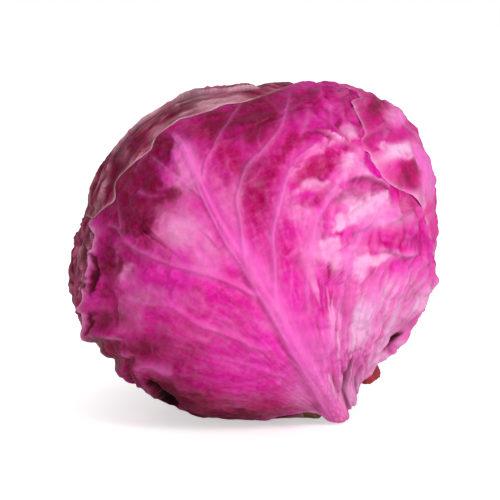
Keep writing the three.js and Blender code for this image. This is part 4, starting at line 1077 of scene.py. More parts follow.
def left_detail(sk, g, leaf):
    L = lambda *p: seen_line(np.array(p, float))
    add_veins(sk, leaf_veins(leaf, 31, 7, bend=-4.0, size=0.9, lift=0.7))
    lamina(sk, 131, 1.0, 0.6)
    F = sk.fold
    F(L((85, 217), (86, 240), (80, 262), (79, 290), (84, 318), (88, 332)), 1.8, 3, 1.0, (0.1, 0.1), pale=0.5, dark=0.45)
    F(L((77, 220), (74, 250), (73, 275), (76, 300), (80, 318)), 1.2, 2.5, 0.9, (0.1, 0.1), pale=0.4, dark=0.35)
    F(L((90, 228), (90, 240), (88, 255), (84, 280), (82, 300)), 1.4, 0.9, 2.6, (0.1, 0.1), pale=0.4, dark=0.4)
    F(L((82, 222), (80, 245), (77, 262), (76, 280)), 0.9, 0.8, 2.2, (0.1, 0.1), pale=0.3, dark=0.3)
    # the crevices under the front leaf's margin, darkened with painted shade
    sk.groove(L((98, 236), (99, 250), (98, 262), (97, 275), (96, 288), (94, 300)), (3.0, 3.6), (2.6, 2.2), (0.2, 0.2), 1.2)
    sk.groove(L((92, 312), (92, 322), (91, 332)), (3.2, 3.2), (2.0, 2.0), (0.2, 0.2), 1.0)
    side = sk.seen * np.exp(-((sk.px - 84) / 22) ** 2)
    sk.h += side * 1.3 * (0.3 - np.abs(fbm(sk.d * np.array([1.0, 0.55, 1.0]), 8.0, 32, 2)))
    bl = blisters(sk.d, (5, 13, 5), 331)
    sk.h += side * (1.2 + 2.0 * bl)
    # painted shade between the blisters and painted highlight on them
    sk.dark += side * 0.5 * np.exp(-(bl / 0.2) ** 2)
    sk.pale += side * 0.4 * (bl - 0.4)
    edge_lift(sk, g, 1.2, 2.5, 33)
    st = sk.limb_streaks(38)
    sk.h += sk.seen * 0.9 * st
    # streaks along the outline: paler on their crests, darker between them and near-black in the deepest valleys, as
    # painted highlight and painted shade
    sk.pale += sk.seen * (0.5 * smooth(st, 0.15, 0.75) - 0.3)
    sk.red += sk.seen * 0.3
    sk.dark += sk.seen * (0.9 * smooth(-st, 0.0, 0.6) - 0.3 * smooth(st, 0.1, 0.7))
    sk.crev += sk.seen * clip01(-st - 0.35) * 1.0
    sk.bloom += 0.02 + 0.3 * fbm(sk.d, 11.0, 34, 3) + 0.1 * side
    sk.dark += 0.5 + 0.4 * fbm(sk.d, 20.0, 35, 2) - 0.15 * side
    # paler in patches and along the margin; the margin band is partly the thin edge's own colour and partly painted
    # highlight
    sk.pale += 0.15 + 0.35 * fbm(sk.d, 16.0, 36, 2) + 0.7 * np.exp(-g / 1.3) + 0.15 * side
    sk.red += 0.35


def right_detail(sk, g, leaf):
    L = lambda *p: seen_line(np.array(p, float))
    add_veins(sk, leaf_veins(leaf, 41, 6, bend=5.0, size=1.1, lift=0.9))
    lamina(sk, 141, 0.8, 0.7)
    F = sk.fold
    F(L((400, 125), (393, 116), (386, 108), (378, 100)), 1.6, 1.2, 4, (0.15, 0.2), pale=0.5, dark=0.3)
    F(L((383, 142), (381, 130), (382, 118)), 1.0, 1.0, 3, (0.3, 0.3), dark=0.25)
    F(L((426, 215), (418, 190), (410, 165), (403, 145)), 1.8, 4, 1.2, (0.15, 0.2), pale=0.3, dark=0.3)
    F(L((410, 158), (398, 150), (386, 147)), 1.3, 1.0, 3.5, (0.3, 0.3), pale=0.6, dark=0.05)
    F(L((417, 192), (408, 178), (398, 163)), 1.4, 0.9, 3.5, (0.2, 0.2), dark=0.5)
    F(L((424, 232), (419, 218), (414, 205)), 1.2, 0.9, 3, (0.2, 0.2), pale=0.2, dark=0.4)
    F(L((432, 252), (428, 238), (424, 226)), 0.9, 0.9, 3, (0.2, 0.2), dark=0.3)
    sk.h += sk.seen * (1.2 * (0.3 - np.abs(fbm(sk.d, 12.0, 42, 2))) + 1.3 * blisters(sk.d, (8, 13, 9), 341) + 0.4 * blisters(sk.d, (4, 6, 5), 345))
    sk.bump(398, 112, 8, 8, 0, 1.4)
    sk.bump(410, 137, 8, 10, 0, 1.4)
    sk.bump(422, 170, 8, 14, 0, 1.2)
    edge_lift(sk, g, 0.3, 1.6, 43, wave=0.8, cell=8.0)
    # colour areas: dark, pale, red and bloom patches, partly the leaf's own colour and partly painted shade, painted
    # highlight and painted sheen
    B = sk.blob
    for b in ((372, 112, 7, 12, -10, 0.7), (376, 100, 7, 8, 0, 0.5), (405, 178, 7, 18, -30, 0.6), (385, 132, 6, 12, 0, 0.35), (419, 220, 6, 14, 0, 0.35), (404, 165, 6, 8, 0, 0.4)):
        B("dark", *b)
    for b in ((393, 118, 11, 10, 30, 0.5), (395, 152, 14, 7, 20, 0.9), (424, 185, 8, 30, -10, 0.5), (380, 160, 10, 8, 0, 0.3), (415, 150, 10, 14, 0, 0.4), (361, 107, 7, 9, 0, 0.3)):
        B("pale", *b)
    for b in ((405, 176, 9, 20, -30, 0.8), (375, 108, 9, 12, 0, 0.7), (426, 232, 7, 16, 0, 0.4)):
        B("red", *b)
    B("bloom", 395, 153, 12, 7, 20, 0.7)
    B("bloom", 418, 218, 6, 14, 0, 0.4)
    # paler in patches and along the margin; the margin band is partly the thin edge's own colour and partly painted
    # highlight
    sk.pale += 0.0 + 0.4 * fbm(sk.d, 15.0, 44, 3) + 0.35 * np.exp(-g / 0.8)
    sk.red += 0.25 * sk.seen * clip01(0.4 + fbm(sk.d, 9.0, 46, 2)) + 0.3 * sk.seen * (1 - smooth(sk.py, 100, 150))
    sk.dark += 0.12 * sk.seen * (1 - smooth(sk.py, 100, 150))
    mott = 0.8 * noise(sk.d * 77.0 / 3.4, 47) + 0.7 * noise(sk.d * 77.0 / 1.7, 48)
    sk.pale += 0.16 * clip01(mott)
    sk.red += 0.3 * clip01(-mott)
    # patches: lit raised faces with painted highlight and sheen, sunk faces darkened with painted shade, and some vein
    # colour
    T = sk.patch
    T(((397, 164), (407, 166), (410, 176), (417, 187), (411, 188.5), (403, 176)), 1.5, red=1.0, dark=0.3, h=-0.5)
    T(((381.5, 141), (397, 149), (406, 157), (406, 162), (393, 158), (380, 149)), 1.2, pale=0.7, bloom=0.4, h=0.5)
    T(((403, 149), (418.5, 146.5), (431, 162), (435, 185), (431, 200), (418.5, 185), (411, 167)), 1.5, vein=0.7, pale=0.2, h=0.4)
    T(((385.5, 108), (398, 112), (402, 125), (398, 131), (387, 115)), 1.5, vein=0.7, pale=0.2, h=0.4)
    T(((367.5, 106), (378, 102), (380, 108), (373, 113)), 1.5, dark=1.0, red=0.6, h=-0.4)
    T(((379, 123.5), (388, 126), (384, 141), (379, 141)), 1.5, bloom=0.25, dark=0.2)
    T(((385, 117), (396, 130), (404, 146), (398, 146), (388, 135)), 1.5, red=0.35, dark=0.15, h=-0.4)
    T(((352, 92), (372, 99), (368, 110), (376, 122), (380, 140), (374, 156), (364, 146), (364, 130), (356, 106)), 2.5, dark=0.4, red=0.35)
    T(((412, 190), (420, 196), (427, 212), (431, 232), (424, 226), (417, 206)), 1.5, pale=0.5, bloom=0.4)
    T(((426, 200), (434, 205), (434, 232), (430, 228)), 1.5, red=0.5)
    sk.dark += (1 - sk.seen) * clip01(0.15 + 0.5 * fbm(sk.d, 26.0, 45, 2))


def back_detail(sk, g, leaf):
    add_veins(sk, leaf_veins(leaf, 51, 8, bend=6.0, size=1.15, lift=1.0))
    lamina(sk, 151, 1.1, 0.9)
    sk.h += 0.8 * (0.3 - np.abs(fbm(sk.d, 13.0, 52, 2))) + 0.8 * blisters(sk.d, (10, 12, 10), 351)
    edge_lift(sk, g, 1.2, 2.6, 53)
    sk.h -= 2.2 * np.exp(-(sk.d[:, 2] / 0.4) ** 2) * smooth(-sk.d[:, 0], 0.6, 0.9)
    sk.h -= 1.0 * np.exp(-((g - 5) / 2.6) ** 2)
    st = sk.limb_streaks(58)
    sk.h += sk.seen * 0.5 * st
    # paler on the streaks' crests and darker between them, as painted highlight and painted shade
    sk.pale += sk.seen * clip01(st) * 0.7
    sk.dark += sk.seen * clip01(-st) * 0.7
    sk.bloom += 0.1 + 0.4 * fbm(sk.d, 14.0, 54, 3)
    sk.dark += 0.5 + 0.6 * fbm(sk.d, 26.0, 55, 2)
    # paler in patches and along the margin; the margin band is partly the thin edge's own colour and partly painted
    # highlight
    sk.pale += 0.1 + 0.4 * fbm(sk.d, 18.0, 56, 2) + 0.6 * np.exp(-g / 1.3)
    sk.red += 0.3


def lower_right_detail(sk, g, leaf):
    L = lambda *p: seen_line(np.array(p, float))
    add_veins(sk, leaf_veins(leaf, 61, 5, bend=-2.0, size=1.0, lift=0.9))
    lamina(sk, 161, 0.8, 0.5)
    # a low fold behind the front leaf's margin
    lip_way = unit([math.cos(math.radians(-36.0)), math.sin(math.radians(-36.0)), -0.05])
    tangent = unit(np.cross([0, 0, 1.0], lip_way))
    q = sk.d - lip_way
    u, w = 77 * (q @ tangent), 77 * (q @ np.array([0, 0, 1.0]))
    near = (sk.d @ lip_way) > 0.9
    sk.h += near * (1.6 * np.exp(-(u / 9.0) ** 2 - (w / 2.6) ** 2) - 0.8 * np.exp(-(u / 9.0) ** 2 - ((w - 5.0) / 3.0) ** 2))
    edge_lift(sk, g, 1.2, 2.5, 63)
    sk.pale += 0.4 + 0.4 * fbm(sk.d, 14.0, 64, 2)
    sk.bloom += 0.5 + 0.4 * fbm(sk.d, 9.0, 65, 2)
    sk.dark += clip01(0.1 + 0.4 * fbm(sk.d, 20.0, 66, 2))


# ------------------------------------------------------------------ the inner leaves
def build_inner(mat):
    import bmesh
    bm = bmesh.new()
    bmesh.ops.create_icosphere(bm, subdivisions=7, radius=1.0)
    bm.verts.ensure_lookup_table()
    d = unit(np.array([v.co[:] for v in bm.verts]))
    f = np.array([[v.index for v in x.verts] for x in bm.faces])
    bm.free()
    sk = Skin(d)
    sk.project()
    base, rest, press, free = layer_radius(len(LEAVES), d)
    tip = unit([-0.45, 0.75, -0.55])
    way = np.arccos(np.clip(d @ STEM_AXIS, -1, 1))
    turn = np.arctan2(d @ STEM_E2, d @ STEM_E1)
    # folded leaf backs that run from the stump
    ribs = np.cos(turn * 5 + 2.2 * way + 0.8 * noise(d * 2.2, 71))
    sk.h += 0.8 * ribs * smooth(way, 0.2, 0.5) - 0.5
    sk.vein += 0.45 * smooth(ribs, 0.86, 1.0)
    sk.near = np.minimum(sk.near, 6 * (1 - ribs))
    lamina(sk, 171, 0.8, 0.6)
    r = base - LAYER + sk.h * free - press
    # the hollow round the stump, with the scars of its lower leaves
    ring = np.exp(-((way - 0.245) / 0.035) ** 2)
    r += ring * (0.8 + 0.8 * np.cos(turn * 3 + 0.7) + 0.6 * noise(d * 14, 72))
    r -= 3.0 * np.exp(-(way / 0.2) ** 4)
    r = np.minimum(r, rest - 1.0)
    for up in LEAVES:
        r = np.minimum(r, ceiling_at(up, d) - 0.2)
    v = d * r[:, None]
    base_pale = np.exp(-(way / 0.36) ** 4)
    tone = np.stack([clip01(sk.vein), clip01(0.2 + 0.4 * fbm(d, 16, 73, 2) + base_pale * 0.7), clip01(0.25 + 0.4 * fbm(d, 22, 74, 2)), clip01(0.2 + base_pale * 0.3 + 0.3 * fbm(d, 12, 75, 2))], 1)
    more = np.stack([np.full(len(d), 0.2), np.zeros(len(d)), np.zeros(len(d)), np.zeros(len(d))], 1)
    p = v[f[0]]
    if np.cross(p[1] - p[0], p[2] - p[0]) @ p[0] < 0:
        f = f[:, ::-1]
    return finish_mesh("cabbage_inner_head", to_world(v), [f], {"tone": tone, "more": more}, mat, "inner_head")


# ------------------------------------------------------------------ the stump
STUBS = [[-38, 24.0, 7.5, 12.0, 50, 77.0], [60, 19.0, 5.2, 6.5, 58, 79.5], [165, 13.0, 5.5, 7.0, 58, 73.5]]


def build_stem(mat):
    na, prof = 180, []
    # radius and height along the profile, from the buried root to the middle of the cut
    key = np.array([[0, 36], [8, 36.2], [11, 37.5], [12.5, 44], [15, 52], [16.6, 60], [16.9, 64], [16.2, 69], [15.6, 72.5], [15.2, 74.6], [14.3, 75.5], [12.8, 75.4], [10, 74.8], [6, 74.5], [3, 74.6], [0, 74.7]])
    seg = np.concatenate([[0], np.cumsum(np.hypot(*np.diff(key, axis=0).T))])
    m = 132
    s = np.linspace(0, seg[-1], m)
    rad, high = np.interp(s, seg, key[:, 0]), np.interp(s, seg, key[:, 1])
    a = np.linspace(0, 2 * np.pi, na, endpoint=False)
    R, A = np.meshgrid(rad, a, indexing="ij")
    H = np.meshgrid(high, a, indexing="ij")[0]
    S = np.meshgrid(s, a, indexing="ij")[0]
    R, A, H, S = (x[1:-1].ravel() for x in (R, A, H, S))
    cut = smooth(S, seg[10] - 0.5, seg[10] + 0.8)
    side = smooth(H, 52, 58) * (1 - cut)
    c = np.stack([np.cos(A), H / 14, np.sin(A)], 1)
    wob = noise(c * np.array([1.4, 0.6, 1.4]), 81)
    fibre = noise(np.stack([np.cos(A) * 9, H / 9, np.sin(A) * 9], 1), 82)
    R2 = R * (1 + 0.05 * wob * np.clip(R / 8, 0, 1)) + side * (0.55 * fibre + 0.25 * noise(np.stack([np.cos(A) * 24, H / 5, np.sin(A) * 24], 1), 83))
    scars = np.zeros(len(A))
    for ang, hh, w in ((0.5, 63, 0.5), (2.3, 66, 0.55), (4.0, 62, 0.5), (5.3, 68, 0.45), (1.4, 70, 0.4), (3.2, 70.5, 0.4)):
        da = np.angle(np.exp(1j * (A - ang)))
        q = (da / w) ** 2 + ((H - hh) / 2.6) ** 2
        R2 += side * (1.3 * np.exp(-(q - 1) ** 2 * 3) - 0.5 * np.exp(-q * 2))
        scars += side * np.exp(-(q - 1) ** 2 * 4)
    X, Z = R2 * np.cos(A), R2 * np.sin(A)
    flat = np.stack([X / 1.1, Z / 1.1, H * 0], 1)
    grain = noise(flat * 1.2, 84)
    saw = np.sin((X * 0.8 + Z * 0.5) * 2.2 + 1.5 * noise(flat * 0.25, 85))
    H2 = H + cut * (0.35 * grain + 0.14 * saw + 0.5 * noise(flat * 0.3, 86) - 0.7 * np.exp(-((R2 - 9.6) / 0.9) ** 2) + 0.3 * np.exp(-(R2 / 4) ** 2))
    pts = np.stack([X, H2, Z], 1)
    pts = np.vstack([[[0, 36, 0]], pts, [[0, 74.7, 0]]])
    ring = m - 2
    idx = 1 + np.arange(ring * na).reshape(ring, na)
    q = np.stack([idx[:-1], idx[1:], np.roll(idx, -1, 1)[1:], np.roll(idx, -1, 1)[:-1]], 2).reshape(-1, 4)
    t0 = np.stack([np.zeros(na, int), idx[0], np.roll(idx[0], -1)], 1)
    t1 = np.stack([np.full(na, len(pts) - 1), np.roll(idx[-1], -1), idx[-1]], 1)
    quads, tris, verts, tone = [q], [t0, t1], [pts], []
    rr = np.hypot(pts[:, 0], pts[:, 2])
    cutf = np.concatenate([[0], cut, [1]])
    ringf = cutf * (np.exp(-((rr - 9.8) / 0.9) ** 2) + 0.8 * smooth(rr, 13.2, 14.6))
    tone.append(np.stack([cutf, clip01(ringf), clip01(np.concatenate([[0], scars, [0]])), clip01(np.concatenate([[0], 0.5 + 0.8 * fibre, [0.5]]))], 1))
    tinge = [np.zeros(len(pts))]
    at = len(pts)
    for k, (az, off, r1, r2, lo, hi) in enumerate(STUBS):
        n1, n2 = 72, 40
        key = np.array([[0, 0], [0.7, 0.0], [0.98, 0.12], [1.0, 0.5], [0.95, 0.88], [0.88, 0.97], [0.72, 0.985], [0.4, 0.955], [0, 0.95]])
        sg = np.concatenate([[0], np.cumsum(np.hypot(*np.diff(key, axis=0).T))])
        ss = np.linspace(0, sg[-1], n2)
        rk, hk = np.interp(ss, sg, key[:, 0])[1:-1], np.interp(ss, sg, key[:, 1])[1:-1]
        aa = np.linspace(0, 2 * np.pi, n1, endpoint=False)
        RK, AA = np.meshgrid(rk, aa, indexing="ij")
        HK = np.meshgrid(hk, aa, indexing="ij")[0]
        RK, AA, HK = RK.ravel(), AA.ravel(), HK.ravel()
        nn = noise(np.stack([np.cos(AA) * 3 + 9 * k, HK * 4, np.sin(AA) * 3], 1), 87)
        n3 = noise(np.stack([np.cos(AA) * RK * 5 + 9 * k, HK * 2, np.sin(AA) * RK * 5], 1), 88)
        RK = RK * (1 + 0.12 * nn)
        top = smooth(HK, 0.9, 0.97)
        x, z = off + RK * np.cos(AA) * r1, RK * np.sin(AA) * r2
        y = lo + (hi - lo) * HK + top * (1.1 * n3 + 0.12 * (x - off)) - 0.4 * top
        azr = math.radians(az)
        P3 = np.vstack([[[off, lo, 0]], np.stack([x, y, z], 1), [[off, lo + (hi - lo) * 0.95, 0]]])
        # the stump's frame: E1 across azimuth 0, axis up, E2
        px = P3[:, 0] * math.cos(azr) - P3[:, 2] * math.sin(azr)
        pz = P3[:, 0] * math.sin(azr) + P3[:, 2] * math.cos(azr)
        verts.append(np.stack([px, P3[:, 1], pz], 1))
        rg = n2 - 2
        idx = at + 1 + np.arange(rg * n1).reshape(rg, n1)
        quads.append(np.stack([idx[:-1], idx[1:], np.roll(idx, -1, 1)[1:], np.roll(idx, -1, 1)[:-1]], 2).reshape(-1, 4))
        tris.append(np.stack([np.full(n1, at), idx[0], np.roll(idx[0], -1)], 1))
        tris.append(np.stack([np.full(n1, at + len(P3) - 1), np.roll(idx[-1], -1), idx[-1]], 1))
        tf = np.concatenate([[0], top, [1]])
        fl = np.concatenate([[0.5], 0.5 + 0.5 * nn, [0.5]])
        red = 1.0 if k == 1 else 0.0
        tone.append(np.stack([tf * 0.7, clip01(tf * (1 - np.concatenate([[0], RK, [0]]))), np.full(len(tf), 0.0), clip01(fl)], 1))
        tone[-1][:, 2] = 0.0
        tinge.append(np.full(len(tf), red))
        at += len(P3)
    V = np.vstack(verts)
    head = V[:, :1] * STEM_E1 + V[:, 1:2] * STEM_AXIS + V[:, 2:] * STEM_E2
    tone = np.vstack(tone)
    q, t = np.vstack(quads), np.vstack(tris)
    mid_f = q[3 * na]
    p = head[mid_f]
    c0 = p.mean(0)
    axis_pt = STEM_AXIS * (c0 @ STEM_AXIS)
    if np.cross(p[1] - p[0], p[2] - p[0]) @ (c0 - axis_pt + 0.2 * (STEM_AXIS * -1)) < 0:
        q, t = q[:, ::-1], t[:, ::-1]
    more = np.tile([0.0, 0.0, 0.0, 1.0], (len(V), 1))
    more[:, 0] = np.concatenate(tinge)
    placed = to_world(head)
    placed[:, 2] = np.maximum(placed[:, 2], 0.0001 + 0.00002 * np.arange(len(placed)) / len(placed))
    return finish_mesh("cabbage_stem", placed, [q, t], {"tone": tone, "more": more}, mat, "stem")


# ------------------------------------------------------------------ finishes
def lin(r, g, b):
    def f(x):
        x = x / 255.0
        return x / 12.92 if x <= 0.04045 else ((x + 0.055) / 1.055) ** 2.4
    return (f(r), f(g), f(b), 1.0)


class Nodes:
    def __init__(self, name):
        self.mat = bpy.data.materials.new(name)
        self.mat.use_nodes = True
        self.t = self.mat.node_tree
        self.t.nodes.clear()
        self.out = self.t.nodes.new("ShaderNodeOutputMaterial")
        self.bsdf = self.t.nodes.new("ShaderNodeBsdfPrincipled")
        self.t.links.new(self.bsdf.outputs[0], self.out.inputs[0])
        self.co = self.t.nodes.new("ShaderNodeTexCoord").outputs["Object"]

    def link(self, a, b):
        self.t.links.new(a, b)

    def put(self, socket, v):
        if isinstance(v, bpy.types.NodeSocket):
            self.link(v, socket)
        else:
            socket.default_value = v

    def attr(self, name):
        n = self.t.nodes.new("ShaderNodeAttribute")
        n.attribute_name = name
        s = self.t.nodes.new("ShaderNodeSeparateColor")
        self.link(n.outputs["Color"], s.inputs[0])
        return s.outputs[0], s.outputs[1], s.outputs[2], n.outputs["Alpha"]

    def noise(self, scale, detail=3.0, rough=0.5, co=None, distort=0.0):
        n = self.t.nodes.new("ShaderNodeTexNoise")
        self.link(co or self.co, n.inputs["Vector"])
        n.inputs["Scale"].default_value = scale
        n.inputs["Detail"].default_value = detail
        n.inputs["Roughness"].default_value = rough
        n.inputs["Distortion"].default_value = distort
        return n.outputs[0], n.outputs[1]

    def voronoi(self, scale, co=None, feature="DISTANCE_TO_EDGE"):
        n = self.t.nodes.new("ShaderNodeTexVoronoi")
        n.feature = feature
        self.link(co or self.co, n.inputs["Vector"])
        n.inputs["Scale"].default_value = scale
        return n.outputs["Distance"]

    def math(self, op, a, b=0.0, clamp=False):
        n = self.t.nodes.new("ShaderNodeMath")
        n.operation = op
        n.use_clamp = clamp
        self.put(n.inputs[0], a)
        self.put(n.inputs[1], b)
        return n.outputs[0]

    def remap(self, v, a, b, c, d, kind="SMOOTHSTEP"):
        n = self.t.nodes.new("ShaderNodeMapRange")
        n.interpolation_type = kind
        for k, x in enumerate((v, a, b, c, d)):
            self.put(n.inputs[k], x)
        return n.outputs[0]

    def mix(self, f, a, b, blend="MIX"):
        n = self.t.nodes.new("ShaderNodeMix")
        n.data_type = "RGBA"
        n.blend_type = blend
        n.clamp_factor = True
        self.put(n.inputs[0], f)
        self.put(n.inputs[6], a)
        self.put(n.inputs[7], b)
        return n.outputs[2]

    def wobble(self, amount, scale):
        """Coordinates pushed about by noise, in metres."""
        _, c = self.noise(scale, 2.0)
        n = self.t.nodes.new("ShaderNodeVectorMath")
        n.operation = "MULTIPLY_ADD"
        self.link(c, n.inputs[0])
        n.inputs[1].default_value = (amount,) * 3
        self.link(self.co, n.inputs[2])
        return n.outputs[0]

    def bump(self, height, strength, distance):
        n = self.t.nodes.new("ShaderNodeBump")
        n.inputs["Strength"].default_value = strength
        n.inputs["Distance"].default_value = distance
        self.link(height, n.inputs["Height"])
        self.link(n.outputs[0], self.bsdf.inputs["Normal"])


def leaf_material(name, base, second, dark, red, pale, vein, bloom, gloss=0.36, shine=0.09):
    N = Nodes(name)
    v, p, dk, bl = N.attr("tone")
    rd, lip, under, crevice_shade_amount = N.attr("more")
    big, _ = N.noise(55.0, 4.0, 0.6)
    mid, _ = N.noise(210.0, 4.0, 0.6)
    fine, _ = N.noise(900.0, 3.0, 0.6)
    w = N.wobble(0.006, 110.0)
    cells = N.voronoi(150.0, w)
    small = N.voronoi(420.0, w)
    net = N.remap(cells, 0.0, 0.11, 1.0, 0.0)
    net2 = N.remap(small, 0.0, 0.12, 1.0, 0.0)
    c = N.mix(N.remap(big, 0.35, 0.65, 0.0, 1.0), base, second)
    c = N.mix(N.math("MULTIPLY", N.remap(mid, 0.42, 0.7, 0.0, 1.0), 0.25), c, red)
    c = N.mix(rd, c, red)
    dark_f = N.math("ADD", dk, N.math("MULTIPLY", N.math("SUBTRACT", mid, 0.5), N.math("MULTIPLY", dk, 1.1)))
    c = N.mix(dark_f, c, dark)
    rest_f = N.remap(dk, 0.2, 1.1, 1.0, 0.35)
    pale_f = N.math("MULTIPLY", N.math("MULTIPLY", p, N.remap(mid, 0.3, 0.7, 0.7, 1.25, "LINEAR")), rest_f)
    c = N.mix(pale_f, c, pale)
    c = N.mix(N.math("MULTIPLY", N.math("MULTIPLY", net, N.remap(big, 0.3, 0.7, 0.0, 0.12, "LINEAR")), N.remap(dk, 0.2, 1.0, 1.0, 0.35)), c, vein)
    c = N.mix(N.math("MULTIPLY", N.math("MULTIPLY", net2, 0.05), rest_f), c, vein)
    c = N.mix(v, c, vein)
    # greyish bloom colour: waxy bloom together with painted sheen and painted reflections
    bloom_f = N.math("MULTIPLY", N.math("MULTIPLY", bl, N.remap(fine, 0.25, 0.75, 0.35, 0.75, "LINEAR")), rest_f)
    c = N.mix(bloom_f, c, bloom)
    # paler along the margin: partly the thin edge's own colour, partly painted highlight
    c = N.mix(N.math("MULTIPLY", lip, 0.35), c, pale)
    c = N.mix(N.math("MULTIPLY", under, 0.7), c, pale)
    # shaded crevices stay dark
    c = N.mix(N.math("MULTIPLY", crevice_shade_amount, 1.6, True), c, dark)
    c = N.mix(crevice_shade_amount, c, (0.02, 0.001, 0.006, 1.0))
    N.link(c, N.bsdf.inputs["Base Color"])
    r = N.math("ADD", N.remap(fine, 0.2, 0.8, gloss - 0.07, gloss + 0.09, "LINEAR"), N.math("ADD", N.math("MULTIPLY", bl, 0.12), N.math("MULTIPLY", crevice_shade_amount, 0.4)))
    N.link(r, N.bsdf.inputs["Roughness"])
    b = N.bsdf.inputs
    b["IOR"].default_value = 1.45
    b["Sheen Weight"].default_value = 0.01
    b["Specular IOR Level"].default_value = shine
    b["Sheen Roughness"].default_value = 0.45
    b["Sheen Tint"].default_value = (1.0, 0.88, 0.94, 1.0)
    h = N.math("ADD", N.math("MULTIPLY", fine, 0.3), N.math("MULTIPLY", net, 0.08))
    h = N.math("ADD", h, N.math("MULTIPLY", N.voronoi(420.0, w, "F1"), 0.3))
    h = N.math("ADD", h, N.math("MULTIPLY", mid, 0.8))
    N.bump(h, 0.55, 0.0009)
    return N.mat


def stump_material():
    N = Nodes("stump_brown")
    cut, ring, scar, f = N.attr("tone")
    mid, _ = N.noise(240.0, 5.0, 0.65)
    fine, _ = N.noise(1100.0, 3.0, 0.6)
    big, _ = N.noise(80.0, 3.0)
    side = N.mix(N.remap(mid, 0.3, 0.7, 0.0, 1.0), lin(140, 96, 66), lin(190, 146, 104))
    side = N.mix(N.math("MULTIPLY", f, 0.5), side, lin(130, 60, 70))
    side = N.mix(N.math("MULTIPLY", scar, 0.85), side, lin(188, 84, 92))
    face = N.mix(N.remap(big, 0.35, 0.7, 0.0, 1.0), lin(196, 160, 124), lin(150, 104, 76))
    face = N.mix(N.math("MULTIPLY", N.remap(fine, 0.4, 0.7, 0.0, 1.0), 0.5), face, lin(118, 78, 56))
    face = N.mix(N.math("MULTIPLY", ring, 0.75), face, lin(96, 52, 44))
    c = N.mix(cut, side, face)
    c = N.mix(N.math("MULTIPLY", N.attr("more")[0], 0.9), c, N.mix(N.remap(mid, 0.35, 0.65, 0.0, 1.0), lin(186, 12, 50), lin(120, 4, 30)))
    N.link(c, N.bsdf.inputs["Base Color"])
    N.link(N.remap(fine, 0.2, 0.8, 0.55, 0.8, "LINEAR"), N.bsdf.inputs["Roughness"])
    N.bump(N.math("ADD", N.math("MULTIPLY", mid, 1.0), N.math("MULTIPLY", fine, 0.4)), 0.5, 0.0008)
    return N.mat


magenta = leaf_material("leaf_magenta", lin(238, 16, 180), lin(224, 8, 154), lin(126, 0, 52), lin(206, 0, 106), lin(248, 172, 218), lin(242, 112, 204), lin(232, 192, 226), 0.3, 0.1)
dark = leaf_material("leaf_dark", lin(168, 12, 84), lin(150, 8, 72), lin(100, 2, 40), lin(164, 2, 66), lin(232, 176, 192), lin(200, 50, 130), lin(226, 188, 196), 0.38)
pale = leaf_material("leaf_pale", lin(226, 36, 164), lin(210, 24, 140), lin(144, 6, 74), lin(210, 2, 108), lin(248, 168, 218), lin(252, 118, 212), lin(236, 202, 230), 0.32, 0.22)
inner = leaf_material("leaf_inner", lin(170, 34, 108), lin(150, 24, 92), lin(92, 8, 46), lin(156, 12, 74), lin(230, 168, 200), lin(210, 90, 160), lin(200, 156, 182), 0.42)
stump = stump_material()

SIZE = 296, 236, 200, 216, 216, 152
build_leaf(LEAF["leaf_back"], SIZE[3], back_detail, dark)
build_leaf(LEAF["leaf_right"], SIZE[3], right_detail, pale, 0.4, lambda sk, g: 1.75 * sk.seen * np.exp(-(g / 6.0) ** 2))
build_leaf(LEAF["leaf_top_left"], SIZE[1], top_left_detail, dark, 0.45, lambda sk, g: 1.45 * sk.seen * np.exp(-(g / 6.0) ** 2))
build_leaf(LEAF["leaf_front"], SIZE[0], front_detail, magenta)
build_leaf(LEAF["leaf_left"], SIZE[4], left_detail, dark)
build_leaf(LEAF["leaf_lower_right"], SIZE[5], lower_right_detail, pale)
build_inner(inner)
build_stem(stump)

# ------------------------------------------------------------------ floor, light and camera
def plane(name, size, z, mat):
    me = bpy.data.meshes.new(name)
    s = size / 2
    me.from_pydata([(-s, -s, z), (s, -s, z), (s, s, z), (-s, s, z)], [], [(0, 1, 2, 3)])
    me.materials.append(mat)
    ob = bpy.data.objects.new(name, me)
    bpy.context.scene.collection.objects.link(ob)
    return ob


floor_mat = bpy.data.materials.new("floor")
floor_mat.use_nodes = True
ft = floor_mat.node_tree
fb = ft.nodes["Principled BSDF"]
# The floor glows for camera rays only, as painted light that makes it read white; the glow is lower near the head (0.5)
# than further out (0.97), painted shade round the head.
fc, fl, fr = ft.nodes.new("ShaderNodeTexCoord"), ft.nodes.new("ShaderNodeVectorMath"), ft.nodes.new("ShaderNodeMapRange")
fl.operation = "LENGTH"
fr.inputs[1].default_value, fr.inputs[2].default_value = 0.035, 0.14
fr.inputs[3].default_value, fr.inputs[4].default_value = 0.5, 0.97
ft.links.new(fc.outputs["Object"], fl.inputs[0])
ft.links.new(fl.outputs["Value"], fr.inputs[0])
fp, fm = ft.nodes.new("ShaderNodeLightPath"), ft.nodes.new("ShaderNodeMath")
fm.operation = "MULTIPLY"
ft.links.new(fr.outputs[0], fm.inputs[0])
ft.links.new(fp.outputs["Is Camera Ray"], fm.inputs[1])
ft.links.new(fm.outputs[0], fb.inputs["Emission Strength"])
fb.inputs["Emission Color"].default_value = (1, 1, 1, 1)
fb.inputs["Base Color"].default_value = (0.93, 0.93, 0.93, 1)
fb.inputs["Roughness"].default_value = 0.3
fb.inputs["IOR"].default_value = 1.35
plane("floor", 8.0, -0.0004, floor_mat)

world = bpy.data.worlds.new("studio")
bpy.context.scene.world = world
world.use_nodes = True
wt = world.node_tree
wt.nodes.clear()
wo = wt.nodes.new("ShaderNodeOutputWorld")
mixw = wt.nodes.new("ShaderNodeMixShader")
lp = wt.nodes.new("ShaderNodeLightPath")
seen, fill = wt.nodes.new("ShaderNodeBackground"), wt.nodes.new("ShaderNodeBackground")
seen.inputs[0].default_value, seen.inputs[1].default_value = (1, 1, 1, 1), 1.0
fill.inputs[0].default_value = (1, 1, 1, 1)
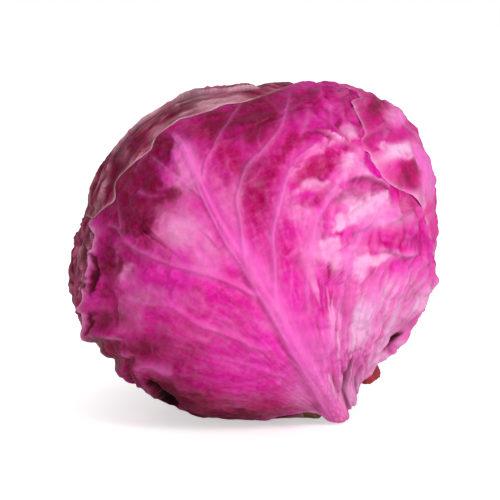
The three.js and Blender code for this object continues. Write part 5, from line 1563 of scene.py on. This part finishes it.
# brighter behind and above than in front
wc, wd, wr = wt.nodes.new("ShaderNodeTexCoord"), wt.nodes.new("ShaderNodeVectorMath"), wt.nodes.new("ShaderNodeMapRange")
wd.operation = "DOT_PRODUCT"
wd.inputs[1].default_value = (0.32, 0.70, 0.64)
wr.inputs[1].default_value, wr.inputs[2].default_value = -0.5, 0.7
wr.inputs[3].default_value, wr.inputs[4].default_value = 0.08, 0.30
wt.links.new(wc.outputs["Generated"], wd.inputs[0])
wt.links.new(wd.outputs["Value"], wr.inputs[0])
wt.links.new(wr.outputs[0], fill.inputs[1])
wt.links.new(lp.outputs["Is Camera Ray"], mixw.inputs[0])
wt.links.new(fill.outputs[0], mixw.inputs[1])
wt.links.new(seen.outputs[0], mixw.inputs[2])
wt.links.new(mixw.outputs[0], wo.inputs[0])


def softbox(name, at, size, power, colour=(1, 1, 1), aim=(0, 0, 0.075)):
    la = bpy.data.lights.new(name, "AREA")
    la.shape = "RECTANGLE"
    la.size, la.size_y = size
    la.energy = power
    la.color = colour
    ob = bpy.data.objects.new(name, la)
    ob.location = at
    ob.rotation_mode = "QUATERNION"
    ob.rotation_quaternion = (Vector(aim) - Vector(at)).to_track_quat("-Z", "Y")
    bpy.context.scene.collection.objects.link(ob)


softbox("key", (0.66, -0.66, 0.66), (0.3, 0.3), 7.1)
softbox("top", (-0.10, -0.15, 1.10), (0.7, 0.7), 1.0)
softbox("side", (-0.75, -0.65, 0.35), (0.5, 0.5), 2.9)
softbox("low", (0.10, -0.85, 0.10), (0.5, 0.3), 1.5)

scene = bpy.context.scene
scene.view_settings.view_transform = "Standard"
cam = bpy.data.cameras.new("camera")
cam.sensor_width = 36.0
cam.lens = 36.0 * FOCAL_PX / 500
cam.dof.use_dof = False
cam.clip_start, cam.clip_end = 0.05, 20.0
camera = bpy.data.objects.new("camera", cam)
scene.collection.objects.link(camera)
scene.camera = camera
X3, V3, W3 = Vector((1, 0, 0)), Vector((0, SE, CE)), Vector((0, -CE, SE))
eye = Vector(CENTRE) + VIEW_H * X3 + VIEW_V * V3 + VIEW_DIST * W3
m = Matrix((X3, V3, W3)).transposed().to_4x4()
m.translation = eye * 0.001
camera.matrix_world = m
